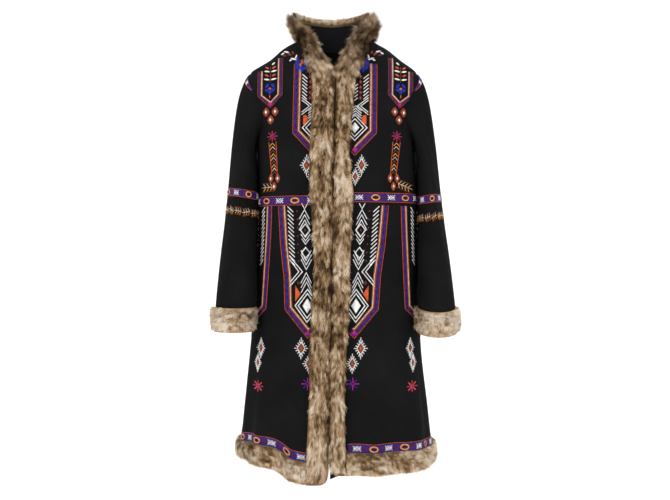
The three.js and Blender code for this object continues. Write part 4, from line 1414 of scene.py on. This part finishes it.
def side_panel(name, hand, behind):
    """Half of the pointed panel that lies over a side seam; the halves meet on the seam."""
    st = Stitching(side_sheet(hand * (1, -1)[behind], -560, hand))
    half = SIDE_HALF[hand]
    outline = [(half, -409), (half, -652), (2.5, -726)]
    long_panel(st, outline, lambda z: 16.0, lambda z: 53, inner=True)
    for k in range(19):
        z = -414 - 13.2 * k
        for x in (1.2, 14):
            st.ridge([(x, z), (x + 11, z - 11)], 2.1, "white", rise=1.1)
        if k % 3 == 2:
            st.diamond((30, z - 3), 2.0, 2.6, "copper", rise=1.1)
    st.ridge([(2, -668), (30, -630), (2, -592)], 2.4, "white", rise=1.1)
    st.ridge([(2, -656), (21, -630), (2, -604)], 2.2, "white", rise=1.1)
    return st.make(f"embroidery_side_{name}_{('front', 'back')[behind]}")


def chest_panel(st):
    """The pointed panel down the chest, with its bars, dots, double chevron, half round and nested
    diamond."""
    border(st, [(98, -72), (98, -240), (48, -293), (38, -283)])
    bars(st, 7, -99, 8.4, lambda z: 78, -12, 11, 2.3)
    for k in range(5):
        st.diamond((59, -105 - 13 * k), 4.6, 6.2, "burgundy", rise=0.8)
        st.diamond((59, -105 - 13 * k), 1.9, 2.4, "orange", rise=1.5)
    bars(st, 5, -130, 8.4, lambda z: 45, 8, -7, 2.0)
    for half, high in ((25.5, 20.5), (18, 14.5)):
        st.ridge([(78, -176.5 + high), (78 - half, -176.5), (78, -176.5 - high)], 2.1, "white", rise=1.1)
    st.dome([(74, -199), (68, -197), (62.5, -203), (62.5, -212), (68, -219), (74, -222)], "orange", rise=1.1)
    for z in (-176, -182, -188, -194):
        arrow(st, (48, z), 14, 12)
    for half, high in ((28.5, 30), (20, 21)):
        st.diamond_line((47, -228), half, high, "white", 2.2)
    st.diamond((47, -228), 10.5, 13, "white", rise=1.3)
    st.dome([(48, -289), (57, -280), (48, -272), (40, -280)], "magenta", rise=0.8)


def neck_flower(st, out):
    """The blue flower beside the collar, its middle this far out, with the leaves that run up to
    the shoulder."""
    st.leaves(
        (out, -72.0),
        (-10, 4, 20, 11, 60, "blue"), (10, 4, 20, 11, 120, "blue"), (-7, -9, 19, 11, 120, "blue"),
        (8, -9, 19, 11, 60, "blue"), (0, -14, 18, 10, 90, "blue"), (0, 4, 17, 6.5, 90, "orange"),
        (20, 13, 17, 4.5, 200, "white"), (14, 19, 12, 4.2, 110, "white"), (27, 10, 8, 3.4, 160, "white"),
        (38, 34, 15, 4.5, 20, "white"), (47, 30, 10, 4.0, 330, "white"),
        (31, 27, 15, 6, 35, "copper"), (22, 30, 12, 5, 60, "copper"), (42, 24, 13, 5, 10, "burgundy"),
        (11, 14, 8, 4, 140, "copper"),
    )


def shoulder_tab(st):
    """The pointed tab that hangs from the shoulder seam, with its flower and pairs of leaves."""
    for inset, width, dye in (
        (0, 1.3, "copper"), (3.6, 4.6, "violet"), (7.6, 1.2, "orange"), (10.2, 2.4, "cream"),
        (12.4, 1.0, "burgundy"),
    ):
        half = 31 - inset
        outer, inner = [(155 + half, -86), (154 + half, -146)], [(156 - half, -146), (157 - half, -54)]
        tip = (153, -178 + inset * 1.35)
        st.ridge([*outer, tip, *inner], width, dye, rise=1.1 if dye == "cream" else 0.8)
    st.diamond((153, -168), 6.5, 7.5, "magenta")
    st.leaves(
        (155.0, -130.0),
        (-7, 6, 14, 8, 55, "blue"), (7, 6, 14, 8, 125, "blue"), (-7, -5, 13, 8, 150, "blue"),
        (7, -5, 13, 8, 30, "blue"), (0, -9, 14, 8, 90, "blue"), (0, -1, 8, 6, 0, "orange"),
    )
    st.ridge([(155, -116), (155, -76)], 1.4, "copper")
    for z, size, dye in ((-108, 15, "white"), (-98, 12, "orange"), (-88, 15, "white"), (-79, 12, "orange")):
        for hand in (-1, 1):
            st.leaf((155 + hand * 8.5, z), size, 4.4, 90 - hand * (62 if dye == "orange" else 78), dye)
    st.leaf((148.5, -68), 10, 4, 140, "white")
    st.leaf((155, -150), 9, 3, 90, "orange")


def diamond_cluster(st, centre, squeeze=1.0):
    """Three copper drops with white middles, two over one."""
    x, z = centre
    for dx, dz in ((-11, 0), (11, 0), (0, -19)):
        spot = (x + dx * squeeze, z + dz)
        st.dome(np.array(spot) + ellipse(8.6 * squeeze, 11.5, 16) * drop_shape(16), "copper")
        st.diamond_line(spot, 5.2 * squeeze, 7.4, "orange", 1.2, lift=0.7, rise=0.6)
        st.diamond(spot, 2.7 * squeeze, 4.6, "white", rise=0.9, lift=0.9)


def drop_shape(count):
    """Draws an ellipse in towards a diamond: less at its four ends, more between them."""
    t = np.linspace(0, 2 * math.pi, count, endpoint=False)
    return (1 - 0.16 * np.abs(np.sin(2 * t)))[:, None]


def chevron_column(st):
    """A column of arrows between two orange lines, from the chest star down to the lower
    cluster."""
    top, bottom = (146.5, -258), (140, -336)
    for hand in (-1, 1):
        st.ridge([(top[0] + hand * 9, top[1]), (bottom[0] + hand * 6.8, bottom[1])], 1.5, "orange")
    for k in range(9):
        share = k / 8
        x, z = mix(top[0], bottom[0], share), mix(top[1] - 3, bottom[1] + 8, share)
        half = mix(6.8, 5.0, share)
        arrow(st, (x, z), half, 7, 1.6, ("yellow", "cream", "copper")[k % 3])


SIDE_SHIFT = {1: 0, -1: -22}
NECK_FLOWER = {1: 64, -1: 80}
SPRIG = {1: [(152, -356), (189, -369)], -1: [(144, -364), (172, -365)]}


def loose_flowers(st, hand):
    """The sunflower pairs, the stars and the sprig that stand by themselves on a front."""
    shift = SIDE_SHIFT[hand]
    st.sunflower((64, -315), 15.6, 24.5)
    st.sunflower((50, -342), 13.5, 21)
    st.sunflower((69, -741), 16, 25)
    st.sunflower((50, -776), 15, 23)
    st.sunflower((187 + shift, -744), 15, 24, 0.72)
    st.sunflower((194 + shift, -779), 14, 22, 0.66)
    st.star(np.array([147.0, -245]), 12.5, "magenta", "copper")
    st.star(np.array([52.0, -822]), 14.6, "magenta", "blue")
    st.star(np.array([192.0 + shift, -833]), 13.0, "magenta", "orange")
    st.sprig(*SPRIG[hand], 20)


def front_embroidery(name, hand):
    st = Stitching(front_sheet(hand))
    chest_panel(st)
    neck_flower(st, NECK_FLOWER[hand])
    shoulder_tab(st)
    diamond_cluster(st, (152, -187))
    diamond_cluster(st, (141, -344), 0.75)
    chevron_column(st)
    skirt_panel(st)
    loose_flowers(st, hand)
    return st.make(f"embroidery_front_{name}")


WAIST = {1: -401, -1: -408}
BAND = 22.0
PITCH = 39.5


def band(st, start, stop, first, height=BAND, pitch=PITCH, keep=11.0):
    """A woven band: a violet ground with blue stripes between orange lines, with band stars and
    ovals in turn."""
    way = math.copysign(1, stop - start)
    steps = max(int(abs(stop - start) / 9), 3)
    ways = np.linspace(start, stop, steps)
    for low, thick, dye, rise, lift in (
        (height * 0.5, height - 2.4, "violet", 0.6, 0),
        (height * 0.17, 2.2, "blue", 0.45, 0.35),
        (height * 0.83, 2.2, "blue", 0.45, 0.35),
        (0.5, 1.4, "orange", 1.0, 0),
        (height - 0.5, 1.4, "orange", 1.0, 0),
    ):
        st.ridge(np.c_[ways, np.full(steps, low)], thick, dye, rise=rise, lift=lift, step=9)
    k = 0
    at = first
    while (stop - at) * way > keep:
        if (at - start) * way > keep:
            (st.crossed_star if k % 2 == 0 else st.oval)(np.array([at, height / 2]), 9.5, 5.8)
        at += way * pitch
        k += 1


def level_line(level):
    return lambda turn: np.full(np.shape(turn), float(level))


def hem_line(turn):
    return hem_height(turn) + hem_above(turn) - 2


# The hem's band: the level at which its girth is read. Where each front's bands start, and their
# first motif
HEM_BAND = -975
BAND_STARTS = {"waist": (34, 56), "hem": (42, 64)}
BACK_WAIST, BACK_FIRST, SEAM_CLEAR = -404, 22, 1


def body_bands():
    """The bands at the waist and over the hem fur, on each front and round the back."""
    for name, hand in HANDS.items():
        waist = WAIST[hand]
        for kind, level, line in (("waist", waist, level_line(waist)), ("hem", HEM_BAND, hem_line)):
            girth, turns = girth_turns(level)
            seam = float(np.interp(hand * 90, turns, girth))
            middle = float(front_line(level))
            st = Stitching(band_sheet(level, line))
            start, first = BAND_STARTS[kind]
            band(st, middle + hand * start, seam - hand * SEAM_CLEAR, middle + hand * first)
            st.make(f"embroidery_{kind}_{name}")
    for name, level, line in (("waist", BACK_WAIST, level_line(BACK_WAIST)), ("hem", HEM_BAND, hem_line)):
        girth, turns = girth_turns(level)
        around = girth[-1] - girth[0]
        seams = np.interp([90, -90], turns, girth) + (0, around)
        wrapped = np.r_[girth, girth[1:] + around]
        on = np.r_[turns, turns[1:] + 360]
        st = Stitching(wrapped_sheet(wrapped, on, line))
        band(st, seams[0] + SEAM_CLEAR, seams[1] - SEAM_CLEAR, seams[0] + BACK_FIRST)
        st.make(f"embroidery_{name}_back")


# The sleeve's band: its height at the side, how much it tilts and where its first motif is round
# the arm
SLEEVE_BAND = {-1: (-387.5, 5.5, 287), 1: (-400.5, 3.5, 228)}
ROUND_MM = 1.03
SLEEVE_MOTIFS, SLEEVE_BAND_HEIGHT = 8, 18.5
SLEEVE_SPRIGS = {"count": 12, "pitch": 30.9, "long": 27, "low": -34, "wave": 3, "height": 17}
# The piece at the sleeve's head: its half length in degrees, its depth, and where its two crosses
# are
HEAD = {"half": 46, "deep": 17, "power": 0.6, "places": 18, "steep": 150, "start": 0.02}
HEAD_LINES = ((0.28, "violet", 5.2), (0.62, "violet", 5.2), (1.0, "orange", 1.4), (0.45, "blue", 2.0))
HEAD_CROSSES = (-22, 22)


def sleeve_embroidery(name, hand):
    """The band and the sprig round the sleeve, and the small piece at its head beside the armhole
    seam."""
    level, tilt, first = SLEEVE_BAND[hand]

    def sheet(along, over):
        around = along / ROUND_MM
        return sleeve_laid(hand, around, sleeve_down(level + tilt * np.cos(np.radians(around)) + over))

    st = Stitching(sheet)
    around = 360 * ROUND_MM
    pitch = around / SLEEVE_MOTIFS
    start = first * ROUND_MM - pitch / 2
    band(st, start, start + around - 1.0, start + pitch / 2, height=SLEEVE_BAND_HEIGHT, pitch=pitch, keep=8)
    low, wave = SLEEVE_SPRIGS["low"], SLEEVE_SPRIGS["wave"]
    for k in range(SLEEVE_SPRIGS["count"]):
        at = start + k * SLEEVE_SPRIGS["pitch"]
        end = (at + SLEEVE_SPRIGS["long"], low + 1 + wave * math.sin(k))
        st.sprig((at, low - wave * math.sin(k)), end, SLEEVE_SPRIGS["height"])
    st.make(f"embroidery_sleeve_{name}")

    def head(along, out):
        return sleeve_laid(hand, along, HEAD["start"] + out / HEAD["steep"])

    st = Stitching(head)
    ways = np.linspace(-HEAD["half"], HEAD["half"], HEAD["places"])
    wide = HEAD["deep"] * np.clip(1 - np.abs(ways) / HEAD["half"], 0.02, 1) ** HEAD["power"]
    for share, dye, thick in HEAD_LINES:
        st.ridge(np.c_[ways, wide * share + 1], thick, dye, rise=0.7, lift=0.1)
    for at in HEAD_CROSSES:
        for low, high, width in (((-4, 4), (4, 11), 2.0), ((-4, 11), (4, 4), 2.0), ((0, 3), (0, 12), 1.8)):
            st.ridge([np.add((at, 0), low), np.add((at, 0), high)], width, "white", lift=0.7)
    st.make(f"embroidery_shoulder_{name}")


def all_embroidery():
    for name, hand in HANDS.items():
        front_embroidery(name, hand)
        sleeve_embroidery(name, hand)
        for behind in (0, 1):
            side_panel(name, hand, behind)
    body_bands()


# The studio: the floor in millimetres, and the lamps' places in metres, sizes and powers
FLOOR = {"front": -4000, "curve_from": 1600, "curve": 1400, "wall": 3000, "tall": 6000, "level": -1320,
         "half_width": 6000}
LAMPS_AIM = (0, 0, -0.45)
LAMPS = (
    ("key", (-1.9, -2.6, 1.3), 1.6, 60),
    ("fill", (2.2, -2.4, 0.4), 2.0, 30),
    ("rim", (0.4, 2.0, 1.6), 1.6, 30),
)


def studio():
    """A pale floor that curves up behind into a wall, a pale sky and three soft lamps."""
    turn = np.radians(np.linspace(0, 90, 13))
    run = np.r_[FLOOR["front"], FLOOR["curve_from"] + FLOOR["curve"] * np.sin(turn), FLOOR["wall"]]
    rise = np.r_[0, FLOOR["curve"] * (1 - np.cos(turn)), FLOOR["tall"]] + FLOOR["level"]
    across = np.linspace(-FLOOR["half_width"], FLOOR["half_width"], 2)
    grid = np.stack(np.broadcast_arrays(across[None], run[:, None], rise[:, None]), -1)
    mesh = bpy.data.meshes.new("floor")
    mesh.from_pydata((grid.reshape(-1, 3) / 1000).tolist(), [], squares(len(run), 2).tolist())
    mesh.polygons.foreach_set("use_smooth", np.ones(len(mesh.polygons), bool))
    material, nodes, links, shader = new_material("paper")
    set_inputs(shader, Base_Color=(0.92, 0.92, 0.92, 1), Roughness=0.9)
    mesh.materials.append(material)
    floor = bpy.data.objects.new("floor", mesh)
    bpy.context.collection.objects.link(floor)

    world = bpy.data.worlds.new("sky")
    bpy.context.scene.world = world
    world.use_nodes = True
    bpy.context.scene.view_settings.view_transform = "Standard"
    set_inputs(world.node_tree.nodes["Background"], Color=(1, 1, 1, 1), Strength=1.0)
    for name, place, size, power in LAMPS:
        lamp = bpy.data.lights.new(name, "AREA")
        lamp.size = size
        lamp.energy = power
        thing = bpy.data.objects.new(name, lamp)
        thing.location = place
        aim = np.array(LAMPS_AIM) - np.array(place)
        yaw = math.atan2(aim[0], -aim[1])
        tilt = math.atan2(math.hypot(aim[0], aim[1]), -aim[2])
        thing.rotation_euler = (tilt, 0, math.pi + yaw)
        bpy.context.collection.objects.link(thing)


def dress():
    for name, hand in HANDS.items():
        shell = cloth_piece(f"front_{name}", *panel_laid(hand, False))
        arm = sleeve(f"sleeve_{name}", hand)
    back("back")
    collar("collar")
    all_fur()
    all_embroidery()


studio()
dress()
